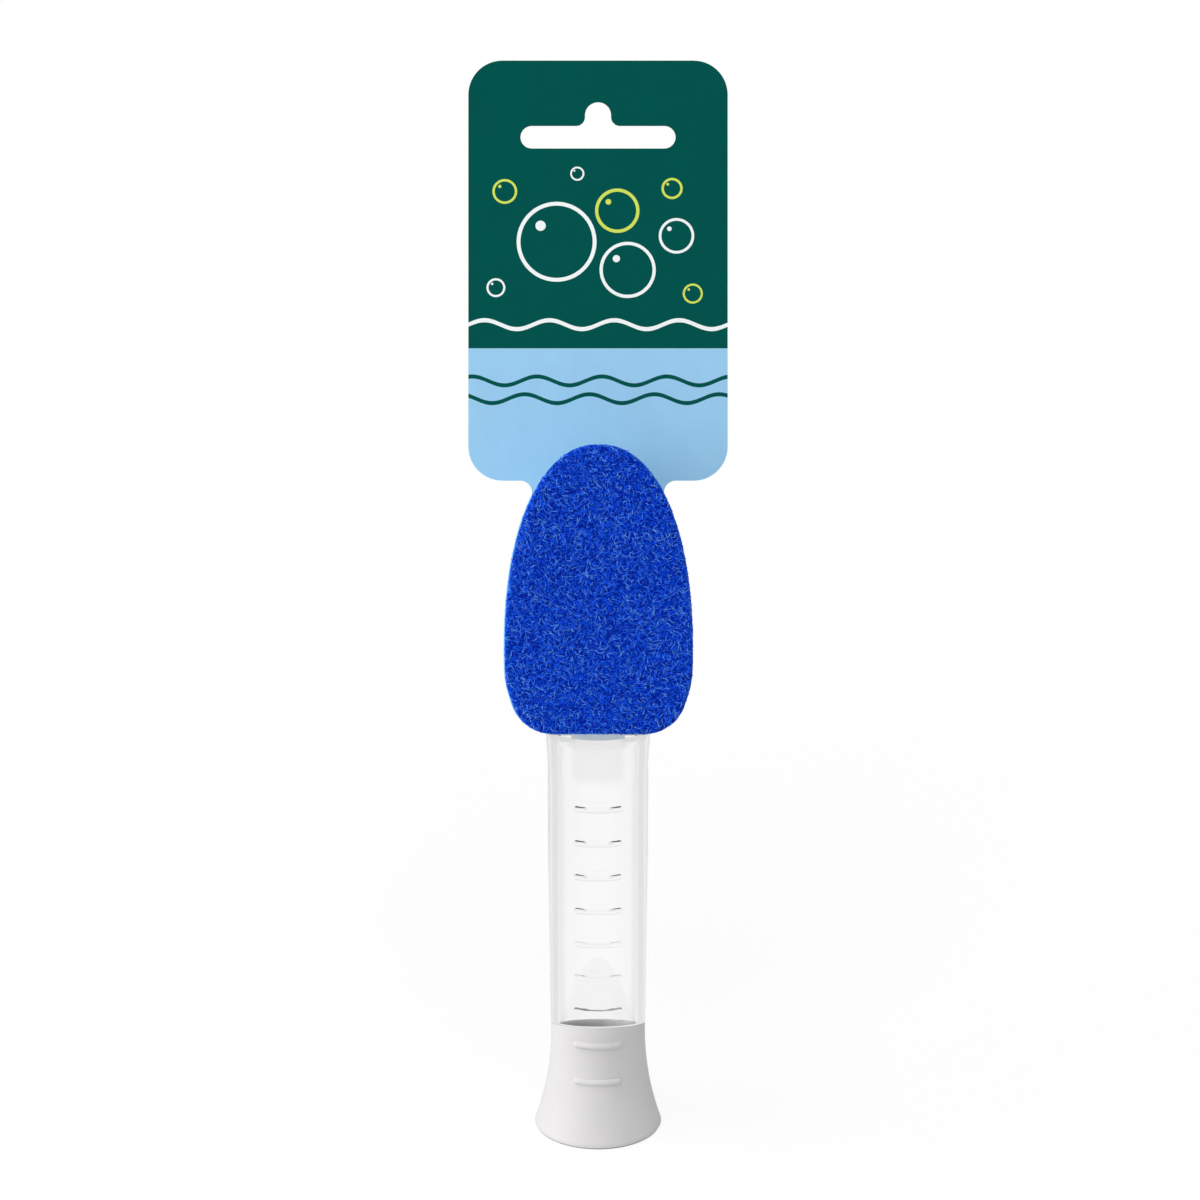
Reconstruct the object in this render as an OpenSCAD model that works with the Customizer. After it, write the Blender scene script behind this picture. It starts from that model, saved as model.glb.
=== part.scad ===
// Dish wand: clear refillable handle on a flared cap, with a sponge head leaning back and a hang card.
// Origin at the centre of the cap's flat base, +Z up, the pad's face towards -Y.
// Head places are given along the head (u, up from its heel) and across it (w, forward of the shoe's face).

/* [Stance] */
// Lean of the head behind the upright handle, degrees
head_tilt = 22.5; // [18:0.5:27]
// Height of the head's heel above the base
heel_z = 155; // [140:1:190]
// Distance of the heel in front of the handle's axis
heel_front = 17; // [15:0.5:19]

/* [Handle] */
// Step from the cap's upper end out to the clear skin at the seam
skin_step = 0.15; // [0:0.05:0.6]
// Growth of the clear skin's radius from the seam to the upper grip
grip_swell = 0.8; // [0:0.1:1.5]
// Growth of the clear skin's radius from the grip to the neck
neck_swell = 1.3; // [0.5:0.1:1.8]
// Wall of the spigot, round the reservoir's bore
spigot_wall = 1.4; // [1.2:0.1:2]
// Height at which the taper of the grip ends
grip_top_z = 100; // [80:1:120]
// Height at which the skin starts to flare below the head
flare_start_z = 139; // [125:1:145]
// Length of the spigot that plugs into the cap, below the seam's centre
spigot_h = 18.5; // [14:0.5:24]
// Height of the seam's centre
seam_z = 38.5; // [34:0.5:44]
// Slant of the seam, higher at the front, degrees
seam_tilt = 19; // [0:1:22]
// Gap between the handle's skin and the cap along the seam
seam_gap = 0.15; // [0.1:0.05:0.4]

/* [Grip ribs] */
// Number of ribs on the handle
rib_count = 7; // [3:1:8]
// Height of the handle's top rib
rib_top_z = 126.5; // [118:0.5:130]
// Distance from rib to rib on the handle
rib_pitch = 12.7; // [9:0.1:12.7]
// Radius of a rib's round section
rib_r = 0.85; // [0.5:0.05:1.2]
// Half the length of a rib, seen from the front
rib_half = 8.2; // [4:0.1:11]
// Height of the cap's upper rib
cap_rib_z = 36.9; // [34:0.1:38]
// Distance between the cap's two ribs
cap_rib_pitch = 13.5; // [8:0.5:18]

/* [Cap] */
// Radius of the cap's upper end
cap_r_top = 16.25; // [15.5:0.05:17]
// Wall of the cap round its socket
cap_wall = 1.55; // [1.3:0.05:2]
// Radius of the cap's base
cap_r_base = 22.2; // [20:0.2:28]
// Height over which the cap flares
flare_h = 36; // [28:1:38]
// Wall of the cap's hollow foot
foot_wall = 2.6; // [2:0.1:3]
// Radius of the cap's bottom edge
foot_edge_r = 0.8; // [0.3:0.1:1.2]
// Thickness of the floor under the socket
floor_t = 2; // [1.5:0.1:3]
// Thickness of the gasket on that floor
gasket_t = 2; // [1:0.1:3]
// Width of the ledge that the disc in the base rests on
disc_ledge = 0.43; // [0.2:0.01:0.8]
// Thickness of the disc in the base
base_disc_t = 1.6; // [1:0.1:2.4]
// Running clearance of the spigot in the cap's socket
socket_clear = 0.1; // [0.05:0.01:0.1]
// Clearance round a disc or ring set in a recess
seat_clear = 0.05; // [0.02:0.01:0.1]

/* [Neck and shoe] */
// Half the width of the shoe's flange, which the refill's rails grip
flange_half = 18; // [16.5:0.5:20]
// Thickness of the flange
flange_t = 2; // [1.5:0.1:3]
// Step from the flange in to the shoe's core on each side
flange_step = 3; // [2:0.1:4]
// Thickness of the core behind the flange
core_t = 3; // [2.8:0.1:4]
// Length of the shoe along the head
shoe_len = 60; // [54:1:66]
// Radius of the shoe's upper corners
shoe_corner_r = 8; // [3:0.5:12]
// Radius of the neck's landing at its upper end
neck_r_tip = 9; // [7:0.5:10]
// Radius of the neck's landing at its lower end
neck_r_heel = 14; // [12:0.5:15]
// Place of the landing's upper end circle along the head
neck_tip_u = 40; // [36:1:44]
// Place of the landing's lower end circle along the head
neck_heel_u = 12; // [8:1:16]
// Place of the soap outlet along the head
outlet_u = 24; // [20:0.5:28]
// Radius of the soap outlet
outlet_r = 4; // [2:0.5:5]
// Radius of the valve disc
valve_r = 7.3; // [6.5:0.1:8]
// Thickness of the valve disc
valve_t = 1.3; // [0.8:0.1:1.6]
// Thickness of the ring that holds the valve
ring_t = 1.6; // [1:0.1:2]
// Inner radius of the ring
ring_bore_r = 5; // [3:0.5:6]

/* [Refill] */
// Half the width of the pad at its widest
pad_half_w = 31.7; // [28:0.1:36]
// Length of the pad
pad_len = 97.2; // [90:0.2:110]
// Distance of the widest place from the heel
pad_wide_u = 28; // [24:1:36]
// Radius of the heel's corners
heel_corner_r = 14.6; // [8:0.2:15]
// Half the straight part of the heel
heel_flat_half = 15.2; // [10:0.2:16]
// Thickness of the scouring pad
pad_t = 7; // [4:0.5:10]
// Thickness of the sponge
sponge_t = 12.2; // [8:0.1:20]
// Thickness of the carrier plate
carrier_t = 3; // [2:0.1:4]
// Distance of the carrier's edge inside the pad's outline
carrier_inset = 2.5; // [1:0.1:4]
// Running gap between the carrier and the shoe
slide_gap = 0.3; // [0.2:0.05:0.4]
// Thickness of the carrier's rails and end wall
rail_t = 2; // [1.5:0.1:2.5]
// Thickness of the rails' hooks under the flange
hook_t = 1.7; // [1:0.1:2]
// Half the width of the thumb lip
lip_half = 9; // [6:0.5:12]
// Distance of the lip's edge below the heel
lip_drop = 2.3; // [1:0.1:2.5]
// Bulge of the lip's edge at its middle
lip_bulge = 0.7; // [0.2:0.1:1.5]
// Place of the snap ridge along the head
snap_u = 52; // [48:0.5:53]
// Radius of the soap hole in the carrier
port_r = 5; // [3:0.5:7]

/* [Card] */
// Thickness of the board
card_t = 0.6; // [0.4:0.1:1.2]
// Gap between the shoe's back and the card
card_gap = 0.3; // [0.2:0.05:0.6]
// Half the width of the card
card_half = 43.8; // [38:0.2:50]
// Height of the panel's lower edge along the head
card_low_u = 85.3; // [80:0.2:95]
// Height of the panel
card_h = 141.9; // [120:0.2:160]
// Radius of the panel's corners
card_corner_r = 11.5; // [4:0.5:16]
// Half the width of the tab that reaches down behind the pad
tab_half = 22.3; // [19:0.1:26]
// Place of the tab's lower end along the head
tab_low_u = 28; // [24:1:34]
// Radius of the fillets between panel and tab
tab_fillet_r = 4; // [1:0.5:8]
// Half the width of the tab's fork, which straddles the neck
fork_half = 12.5; // [12.2:0.1:14]
// Gap between the fork's closed end and the neck
fork_gap = 0.3; // [0.2:0.05:0.5]
// Length of the hang slot
slot_len = 52.4; // [40:0.2:60]
// Height of the hang slot
slot_h = 7.6; // [6:0.2:10]
// Distance of the slot's middle below the panel's upper edge
slot_drop = 25.9; // [20:0.1:40]
// Radius of the round notch above the slot
notch_r = 4.4; // [3:0.1:6]
// Height of the notch's top above the slot's middle
notch_rise = 11.8; // [9:0.1:13]
// Radius of the fillets between slot and notch
notch_fillet_r = 3; // [1:0.5:4]

/* [Hidden] */
$fn = 96;
hull_fn = 32;
// overlap that lets cuts and joined solids pass each other's faces
eps = 0.5;
// a length past every cut
far = 120;

// handle, whose radii follow the cap's upper end
skin_r_foot = cap_r_top + skin_step;
skin_r_grip = skin_r_foot + grip_swell;
skin_r_neck = skin_r_grip + neck_swell;
socket_r = cap_r_top - cap_wall;
spigot_r = socket_r - socket_clear;
bore_r = spigot_r - spigot_wall;
spigot_z = seam_z - spigot_h;
neck_ledge_u = 0.8;
skin_top_z = heel_z - 0.5;
skin_low_z = seam_z - skin_r_foot * tan(seam_tilt) - 4;
// thumb facet on the front of the skin, just under the lip
facet_w = 0.3;
facet_u = lip_drop + 1.2;
// rounded shoulder where the skin turns into the neck
shoulder_arc_r = 40;
shoulder_angle = 15;
shoulder_taper = 0.3;
// head of the cavity, inside the neck
cavity_shoulder_z = heel_z - 12;
cavity_tip_r = 5.5;
cavity_tip_y = 4.5;
cavity_tip_z = heel_z + 19;

// ribs: radius of the round ends, seen from the front
rib_end_r = rib_r * 1.15;

// shoe
shoe_t = flange_t + core_t;
shoe_low_u = neck_ledge_u - slide_gap;
core_half = flange_half - flange_step;
shoe_heel_r = 3;
valve_recess_r = valve_r + seat_clear;
valve_recess_t = valve_t + ring_t + slide_gap;
slit_len = 6;
slit_w = 0.25;

// snap ridge, which stands into the running gap, and its groove in the carrier
snap_r = 0.6;
snap_proud = slide_gap - 0.05;
snap_groove_r = snap_r + 0.3;

// refill
sponge_w = slide_gap + carrier_t;
pad_w = sponge_w + sponge_t;
rail_in = flange_half + slide_gap;
rail_out = rail_in + rail_t;
hook_in = core_half + slide_gap;
hook_front_w = -(flange_t + slide_gap);
rail_back_w = hook_front_w - hook_t;
rail_low_u = 5;
end_wall_u = shoe_len - shoe_low_u + slide_gap;
lip_r = (lip_half * lip_half + lip_bulge * lip_bulge) / (2 * lip_bulge);
lip_root_u = carrier_inset + 3;
tip_power = 2 / 2.2;
heel_power = 2 / 3;

// cap
flare_rise = cap_r_base - cap_r_top;
flare_arc_r = (flare_h * flare_h + flare_rise * flare_rise) / (2 * flare_rise);
floor_z = spigot_z - gasket_t;

// card
card_w = -(shoe_t + card_gap);
slot_u = card_low_u + card_h - slot_drop;
// where the back of the neck crosses the card, above the landing's own end
fork_tip_u = neck_tip_u + neck_r_tip + fork_gap;
leg_end_r = 4;

// Skin radius at a height, on the straight taper below the top of the grip
function skin_r(z) =
    z >= grip_top_z ? skin_r_grip
    : skin_r_foot + (skin_r_grip - skin_r_foot) * (z - seam_z) / (grip_top_z - seam_z);

// Cap radius at a height, on the round flare
function cap_r(z) =
    z >= flare_h ? cap_r_top
    : cap_r_top + flare_arc_r - sqrt(flare_arc_r * flare_arc_r - (flare_h - z) * (flare_h - z));

// The base disc's radius, which reaches past the hollow foot onto its ledge
base_disc_r = cap_r(base_disc_t) - foot_wall + disc_ledge;

// One point of the pad's oval: a superellipse, pointed towards the tip and fuller at the heel
function oval_point(a) =
    let (power = sin(a) >= 0 ? tip_power : heel_power)
    let (reach = sin(a) >= 0 ? pad_len - pad_wide_u : pad_wide_u)
    [pad_half_w * sign(cos(a)) * pow(abs(cos(a)), power),
     pad_wide_u + reach * sign(sin(a)) * pow(abs(sin(a)), power)];

// Places its children in the head's frame: X across, Z up along the head, -Y forward
module on_head() {
    translate([0, -heel_front, heel_z]) rotate([-head_tilt, 0, 0]) children();
}

// A plate of the head, from depth w0 forward to w1, with a flat outline in X and u
module head_slab(w0, w1) {
    on_head() translate([0, -w0, 0]) rotate([90, 0, 0]) linear_extrude(w1 - w0) children();
}

// Everything above the slanted seam, raised by a gap
module above_seam(gap) {
    translate([0, 0, seam_z + gap]) rotate([-seam_tilt, 0, 0])
        translate([-far / 2, -far / 2, 0]) cube([far, far, far * 2]);
}

// A round bar on the front of the wand at height z and radius r, with its ends rounded off
module grip_rib(r, z) {
    translate([0, 0, z]) intersection() {
        rotate_extrude() translate([r, 0]) circle(rib_r, $fn = hull_fn);
        rotate([90, 0, 0]) linear_extrude(far) {
            square([2 * (rib_half - rib_end_r), 2 * rib_end_r], center = true);
            for (side = [-1, 1]) translate([side * (rib_half - rib_end_r), 0]) circle(rib_end_r);
        }
    }
}

// A plate outline with its own corner radii at the heel and at the tip
module plate_outline(half, low, high, r_low, r_high) {
    union() {
        for (side = [-1, 1]) {
            translate([side * (half - r_low), low + r_low]) circle(r_low);
            translate([side * (half - r_high), high - r_high]) circle(r_high);
        }
        translate([-half, low + r_low]) square([2 * half, high - low - r_low - r_high]);
        translate([-half + r_low, low]) square([2 * (half - r_low), r_low * 2]);
        translate([-half + r_high, high - 2 * r_high]) square([2 * (half - r_high), 2 * r_high]);
    }
}

// The outline of the pad and the sponge
module pad_outline() {
    hull() {
        polygon([for (a = [0 : 5 : 355]) oval_point(a)]);
        for (side = [-1, 1])
            translate([side * heel_flat_half, heel_corner_r]) circle(heel_corner_r, $fn = 48);
    }
}

// The clear skin's solid, above the seam
module handle_skin() {
    intersection() {
        rotate_extrude() polygon([
            [0, skin_low_z], [skin_r_foot, skin_low_z], [skin_r_foot, seam_z], [skin_r_grip, grip_top_z],
            [skin_r_grip, flare_start_z], [skin_r_neck, skin_top_z], [0, skin_top_z]]);
        above_seam(seam_gap);
    }
}

// One thin slice of the neck's rounded shoulder, whose back draws in while its width narrows
module shoulder_disc(rise, draw_in) {
    r = skin_r_neck - shoulder_taper * rise;
    translate([0, skin_r_neck - draw_in - r, skin_top_z + rise]) cylinder(h = 0.02, r = r, $fn = 72);
}

// The neck, which draws in from the round skin to the landing under the shoe
module handle_neck() {
    hull() {
        translate([0, 0, skin_top_z - 1]) cylinder(h = 1, r = skin_r_neck, $fn = 72);
        for (a = [shoulder_angle / 3 : shoulder_angle / 3 : shoulder_angle])
            shoulder_disc(shoulder_arc_r * sin(a), shoulder_arc_r * (1 - cos(a)));
        head_slab(-shoe_t - 1, -shoe_t + eps) {
            translate([0, neck_heel_u]) circle(neck_r_heel, $fn = hull_fn);
            translate([0, neck_tip_u]) circle(neck_r_tip, $fn = hull_fn);
        }
    }
}

// The reservoir's hollow, with its tip reaching up to the outlet
module handle_cavity() {
    translate([0, 0, spigot_z - eps]) cylinder(h = cavity_shoulder_z - spigot_z + eps, r = bore_r);
    hull() {
        translate([0, 0, cavity_shoulder_z - 0.02]) cylinder(h = 0.02, r = bore_r, $fn = 72);
        translate([0, cavity_tip_y, cavity_tip_z]) sphere(cavity_tip_r, $fn = hull_fn);
    }
}

module handle() {
    color([0.93, 0.95, 0.96, 0.35]) difference() {
        union() {
            handle_skin();
            translate([0, 0, spigot_z]) cylinder(h = skin_top_z / 2, r = spigot_r);
            handle_neck();
            for (i = [0 : rib_count - 1])
                grip_rib(skin_r(rib_top_z - i * rib_pitch), rib_top_z - i * rib_pitch);
        }
        handle_cavity();
        // room for the shoe, and the facet that the thumb pushes past
        on_head() translate([-far / 2, -far, -neck_ledge_u]) cube([far, far + shoe_t, far]);
        on_head() translate([-far / 2, -far, -facet_u]) cube([far, far + facet_w, far]);
        head_slab(-shoe_t - 2 * cavity_tip_r, -shoe_t + eps) translate([0, outlet_u]) circle(outlet_r);
    }
}

module head_shoe() {
    color([0.74, 0.78, 0.80]) difference() {
        union() {
            head_slab(-shoe_t, -flange_t + eps)
                plate_outline(core_half, -shoe_low_u, shoe_len - shoe_low_u, shoe_heel_r, shoe_corner_r);
            head_slab(-flange_t, 0)
                plate_outline(flange_half, -shoe_low_u, shoe_len - shoe_low_u, shoe_heel_r, shoe_corner_r);
            on_head() translate([-core_half, snap_r - snap_proud, snap_u])
                rotate([0, 90, 0]) cylinder(h = 2 * core_half, r = snap_r, $fn = hull_fn);
        }
        head_slab(-valve_recess_t, eps) translate([0, outlet_u]) circle(valve_recess_r);
        head_slab(-shoe_t - eps, eps) translate([0, outlet_u]) circle(outlet_r);
    }
}

module soap_valve() {
    color([0.86, 0.90, 0.92]) difference() {
        head_slab(-valve_recess_t, -valve_recess_t + valve_t) translate([0, outlet_u]) circle(valve_r);
        head_slab(-valve_recess_t - eps, -valve_recess_t + valve_t + eps) translate([0, outlet_u]) {
            square([slit_len, slit_w], center = true);
            square([slit_w, slit_len], center = true);
        }
    }
}

module valve_ring() {
    color([0.90, 0.91, 0.92]) head_slab(-valve_recess_t + valve_t, -slide_gap)
        translate([0, outlet_u]) difference() {
            circle(valve_r);
            circle(ring_bore_r);
        }
}

// Rail and hook of the carrier on one side
module carrier_rail() {
    translate([rail_in, rail_low_u]) square([rail_t, end_wall_u + rail_t - rail_low_u]);
}

module refill_carrier() {
    color([0.73, 0.76, 0.79]) difference() {
        union() {
            head_slab(slide_gap, sponge_w) offset(delta = -carrier_inset) pad_outline();
            head_slab(slide_gap, sponge_w) intersection() {
                translate([-lip_half, -lip_drop]) square([2 * lip_half, lip_drop + lip_root_u]);
                translate([0, lip_r - lip_drop]) circle(lip_r);
            }
            head_slab(rail_back_w, slide_gap + eps) {
                carrier_rail();
                mirror([1, 0]) carrier_rail();
                translate([-rail_out, end_wall_u]) square([2 * rail_out, rail_t]);
            }
            head_slab(rail_back_w, hook_front_w) for (side = [0, 1]) mirror([side, 0])
                translate([hook_in, rail_low_u]) square([rail_in - hook_in + eps, end_wall_u - rail_low_u]);
        }
        head_slab(slide_gap - eps, sponge_w + eps) translate([0, outlet_u]) circle(port_r);
        on_head() translate([-core_half - 1, -slide_gap, snap_u])
            rotate([0, 90, 0]) cylinder(h = 2 * core_half + 2, r = snap_groove_r, $fn = hull_fn);
    }
}

module sponge() {
    color([0.49, 0.76, 0.93]) head_slab(sponge_w, pad_w) pad_outline();
}

module scour_pad() {
    color([0.09, 0.25, 0.71]) head_slab(pad_w, pad_w + pad_t) pad_outline();
}

// Half section of the cap's flared solid, with a round bottom edge
module cap_section() {
    difference() {
        square([cap_r_base, seam_z + cap_r_top]);
        translate([cap_r_top + flare_arc_r, flare_h]) circle(flare_arc_r, $fn = 360);
        translate([cap_r_top, flare_h]) square([flare_rise + eps, seam_z + cap_r_top]);
        translate([cap_r(foot_edge_r) - foot_edge_r, -eps]) square([far, foot_edge_r + eps]);
    }
    translate([cap_r(foot_edge_r) - foot_edge_r, foot_edge_r]) circle(foot_edge_r, $fn = hull_fn);
}

module cap_shell() {
    color([0.84, 0.83, 0.83]) difference() {
        union() {
            rotate_extrude() cap_section();
            for (i = [0, 1])
                grip_rib(cap_r(cap_rib_z - i * cap_rib_pitch), cap_rib_z - i * cap_rib_pitch);
        }
        above_seam(0);
        translate([0, 0, floor_z]) cylinder(h = far, r = socket_r);
        // hollow foot under the socket's floor
        rotate_extrude() difference() {
            translate([0, base_disc_t - 0.02]) square([cap_r_base, floor_z - floor_t - base_disc_t + 0.02]);
            translate([cap_r_top + flare_arc_r - foot_wall, flare_h]) circle(flare_arc_r, $fn = 360);
            translate([cap_r(base_disc_t) - foot_wall, 0]) square([far, far]);
        }
        translate([0, 0, -eps]) cylinder(h = base_disc_t + eps, r = base_disc_r + seat_clear);
    }
}

module cap_gasket() {
    color([0.55, 0.57, 0.58]) translate([0, 0, floor_z]) cylinder(h = gasket_t, r = socket_r - seat_clear);
}

module base_disc() {
    color([0.80, 0.79, 0.79]) cylinder(h = base_disc_t, r = base_disc_r);
}

// The panel with its tab, filleted where they meet
module card_outline() {
    offset(r = -tab_fillet_r, $fn = 48) offset(delta = tab_fillet_r) {
        translate([0, card_low_u])
            plate_outline(card_half, 0, card_h, card_corner_r, card_corner_r, $fn = 48);
        plate_outline(tab_half, tab_low_u, card_low_u + card_h / 2, leg_end_r, leg_end_r, $fn = 32);
    }
}

// The hang slot with its round notch
module card_slot() {
    offset(r = -notch_fillet_r, $fn = 32) offset(delta = notch_fillet_r) {
        for (side = [-1, 1]) translate([side * (slot_len - slot_h) / 2, 0]) circle(slot_h / 2, $fn = 32);
        square([slot_len - slot_h, slot_h], center = true);
        translate([0, notch_rise - notch_r]) circle(notch_r, $fn = 32);
        translate([-notch_r, 0]) square([2 * notch_r, notch_rise - notch_r]);
    }
}

module hang_card() {
    color([0.0, 0.33, 0.31]) head_slab(card_w - card_t, card_w) difference() {
        card_outline();
        translate([0, slot_u]) card_slot();
        translate([0, fork_tip_u - fork_half]) circle(fork_half);
        translate([-fork_half, tab_low_u - eps]) square([2 * fork_half, fork_tip_u - fork_half - tab_low_u + eps]);
    }
}

handle();
head_shoe();
soap_valve();
valve_ring();
refill_carrier();
sponge();
scour_pad();
cap_shell();
cap_gasket();
base_disc();
hang_card();
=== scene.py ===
"""Dresses the dish wand: clear handle, flared foot cap, sponge refill with a scouring web, and hang card."""

import logging
import math
from dataclasses import dataclass
from enum import Enum
from typing import Callable, Optional, Sequence

import bmesh
import bpy
import numpy as np
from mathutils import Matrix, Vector, noise
from mathutils.geometry import delaunay_2d_cdt


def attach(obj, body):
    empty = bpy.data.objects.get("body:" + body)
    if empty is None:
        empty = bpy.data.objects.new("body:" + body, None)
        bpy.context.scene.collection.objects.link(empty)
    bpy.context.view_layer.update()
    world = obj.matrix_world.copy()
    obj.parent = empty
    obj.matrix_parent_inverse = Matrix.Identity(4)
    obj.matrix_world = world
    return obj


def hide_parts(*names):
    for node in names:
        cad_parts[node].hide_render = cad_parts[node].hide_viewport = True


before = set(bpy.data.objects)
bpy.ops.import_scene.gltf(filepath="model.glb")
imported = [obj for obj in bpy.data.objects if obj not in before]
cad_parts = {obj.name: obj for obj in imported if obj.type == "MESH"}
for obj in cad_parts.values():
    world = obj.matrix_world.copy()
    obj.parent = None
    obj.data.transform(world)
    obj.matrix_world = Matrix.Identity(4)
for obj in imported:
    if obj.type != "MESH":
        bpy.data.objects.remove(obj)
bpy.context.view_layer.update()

LOG = logging.getLogger("dish_wand")
MM = 0.001
WHITE = (1.0, 1.0, 1.0, 1.0)
NOISE_RANGE = (0.3, 0.7)  # where most noise values lie

TILT = math.radians(22.5)  # how far the head leans back, and how high the camera looks from
HEEL_Y, HEEL_Z = -17.0, 155.0  # where the shoe's face has its heel, in millimetres
FORWARD = (0.0, -math.cos(TILT), math.sin(TILT))
UP_HEAD = (0.0, math.sin(TILT), math.cos(TILT))
SEAM_SLOPE = math.tan(math.radians(19))

Array = np.ndarray
Colour = tuple[float, float, float]
Point = tuple[float, float]
Material = bpy.types.Material
Piece = bpy.types.Object
Socket = bpy.types.NodeSocket


class Body(Enum):
    """The bodies that move against each other."""

    HANDLE = "handle"
    REFILL = "refill"
    CAP = "cap"
    CARD = "card"


class Ink(Enum):
    """What the card shows at a place: one of its printed inks, or the bare board."""

    DEEP_GREEN = 0
    SKY_BLUE = 1
    WHITE = 2
    LIME = 3
    BOARD = 4


def linear(red: int, green: int, blue: int) -> Colour:
    """Turns a screen colour into the linear one that shaders take.

    Args:
        red: Red from 0 to 255.
        green: Green from 0 to 255.
        blue: Blue from 0 to 255.

    Returns:
        The three linear values.
    """
    shares = [value / 255 for value in (red, green, blue)]
    return tuple(s / 12.92 if s <= 0.04045 else ((s + 0.055) / 1.055) ** 2.4 for s in shares)


def toned(colour: Colour, factor: float, top: float = 1.0) -> Colour:
    """Returns a colour times a factor, with no channel above the top."""
    return tuple(min(value * factor, top) for value in colour)


def on_head(x: Array, u: Array, w: Array) -> Array:
    """Places points given along the leaning head into the row frame.

    Args:
        x: Distance across, in millimetres.
        u: Distance up the head from its heel.
        w: Distance forward of the shoe's face.

    Returns:
        Points as rows, in millimetres.
    """
    x, u, w = np.broadcast_arrays(*(np.asarray(value, float) for value in (x, u, w)))
    s, c = math.sin(TILT), math.cos(TILT)
    return np.stack([x, HEEL_Y + u * s - w * c, HEEL_Z + u * c + w * s], axis=-1)


def travel(path: Array) -> Array:
    """Returns how far along a path each of its points lies."""
    return np.concatenate([[0], np.cumsum(np.linalg.norm(np.diff(path, axis=0), axis=1))])


def points_at(path: Array, steps: Array, at: Array) -> Array:
    """Returns the points of a path at distances along it, where steps is its travel."""
    return np.stack([np.interp(at, steps, path[:, k]) for k in range(path.shape[1])], axis=-1)


def put(name: str, data: bpy.types.ID) -> Piece:
    """Adds an object to the scene.

    Args:
        name: The object's name.
        data: What it holds.

    Returns:
        The object.
    """
    obj = bpy.data.objects.new(name, data)
    bpy.context.scene.collection.objects.link(obj)
    return obj


def skin_through(name: str, rings: Sequence[Array], looped: bool) -> Piece:
    """Joins rings that all have the same number of points into a closed, smooth mesh.

    Args:
        name: The piece's name.
        rings: The rings, in millimetres.
        looped: True to join the last ring to the first, False to close both ends with poles.

    Returns:
        The finished object, with its faces outwards.
    """
    count, total = len(rings[0]), len(rings)
    points = np.concatenate(rings)
    pairs = [(j, (j + 1) % count) for j in range(count)]
    faces: list[tuple[int, ...]] = []
    for i in range(total if looped else total - 1):
        a, b = i * count, ((i + 1) % total) * count
        faces += [(a + j, a + k, b + k, b + j) for j, k in pairs]
    if not looped:
        low, last = len(points), (total - 1) * count
        points = np.vstack([points, rings[0].mean(0), rings[-1].mean(0)])
        for j, k in pairs:
            faces += [(k, j, low), (last + j, last + k, low + 1)]
    mesh = bpy.data.meshes.new(name)
    mesh.from_pydata((points * MM).tolist(), [], faces)
    mesh.update()
    mesh.shade_smooth()
    bm = bmesh.new()
    bm.from_mesh(mesh)
    bmesh.ops.recalc_face_normals(bm, faces=bm.faces)
    bm.to_mesh(mesh)
    bm.free()
    return put(name, mesh)


class Graph:
    """A node tree, with short ways to add and link its nodes."""

    def __init__(self, tree: bpy.types.NodeTree) -> None:
        """Takes a tree and empties it."""
        self.tree = tree
        self.tree.nodes.clear()

    def add(self, kind: str, inputs: Optional[dict] = None, **settings: object) -> bpy.types.Node:
        """Adds a node.

        Args:
            kind: Blender's name for the node.
            inputs: Values or sockets to link, by input name or number.
            **settings: Attributes of the node.

        Returns:
            The node.
        """
        node = self.tree.nodes.new(kind)
        for key, value in settings.items():
            setattr(node, key, value)
        for key, value in (inputs or {}).items():
            if isinstance(value, Socket):
                self.tree.links.new(value, node.inputs[key])
            else:
                node.inputs[key].default_value = value
        return node

    def maths(self, operation: str, first: Socket, second: object = 0.5) -> Socket:
        """Returns the result of an operation on one value or two."""
        return self.add("ShaderNodeMath", {0: first, 1: second}, operation=operation).outputs[0]

    def vector(self, operation: str, inputs: dict, result: str = "Vector") -> Socket:
        """Returns a result of an operation on vectors."""
        return self.add("ShaderNodeVectorMath", inputs, operation=operation).outputs[result]

    def remap(self, value: Socket, source: Point, target: Point = (0.0, 1.0)) -> Socket:
        """Maps a value from one range to another.

        Args:
            value: The value.
            source: Low and high end of the range that it comes from.
            target: Low and high end of the range that it goes to.

        Returns:
            The mapped value.
        """
        ends = dict(zip(("From Min", "From Max", "To Min", "To Max"), (*source, *target)))
        return self.add("ShaderNodeMapRange", {"Value": value, **ends}).outputs["Result"]

    def blend(self, share: object, low: object, high: Socket, kind: str = "MIX") -> Socket:
        """Returns one colour mixed into another."""
        inputs = {0: share, 6: low, 7: high}
        return self.add("ShaderNodeMix", inputs, data_type="RGBA", blend_type=kind).outputs[2]


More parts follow.
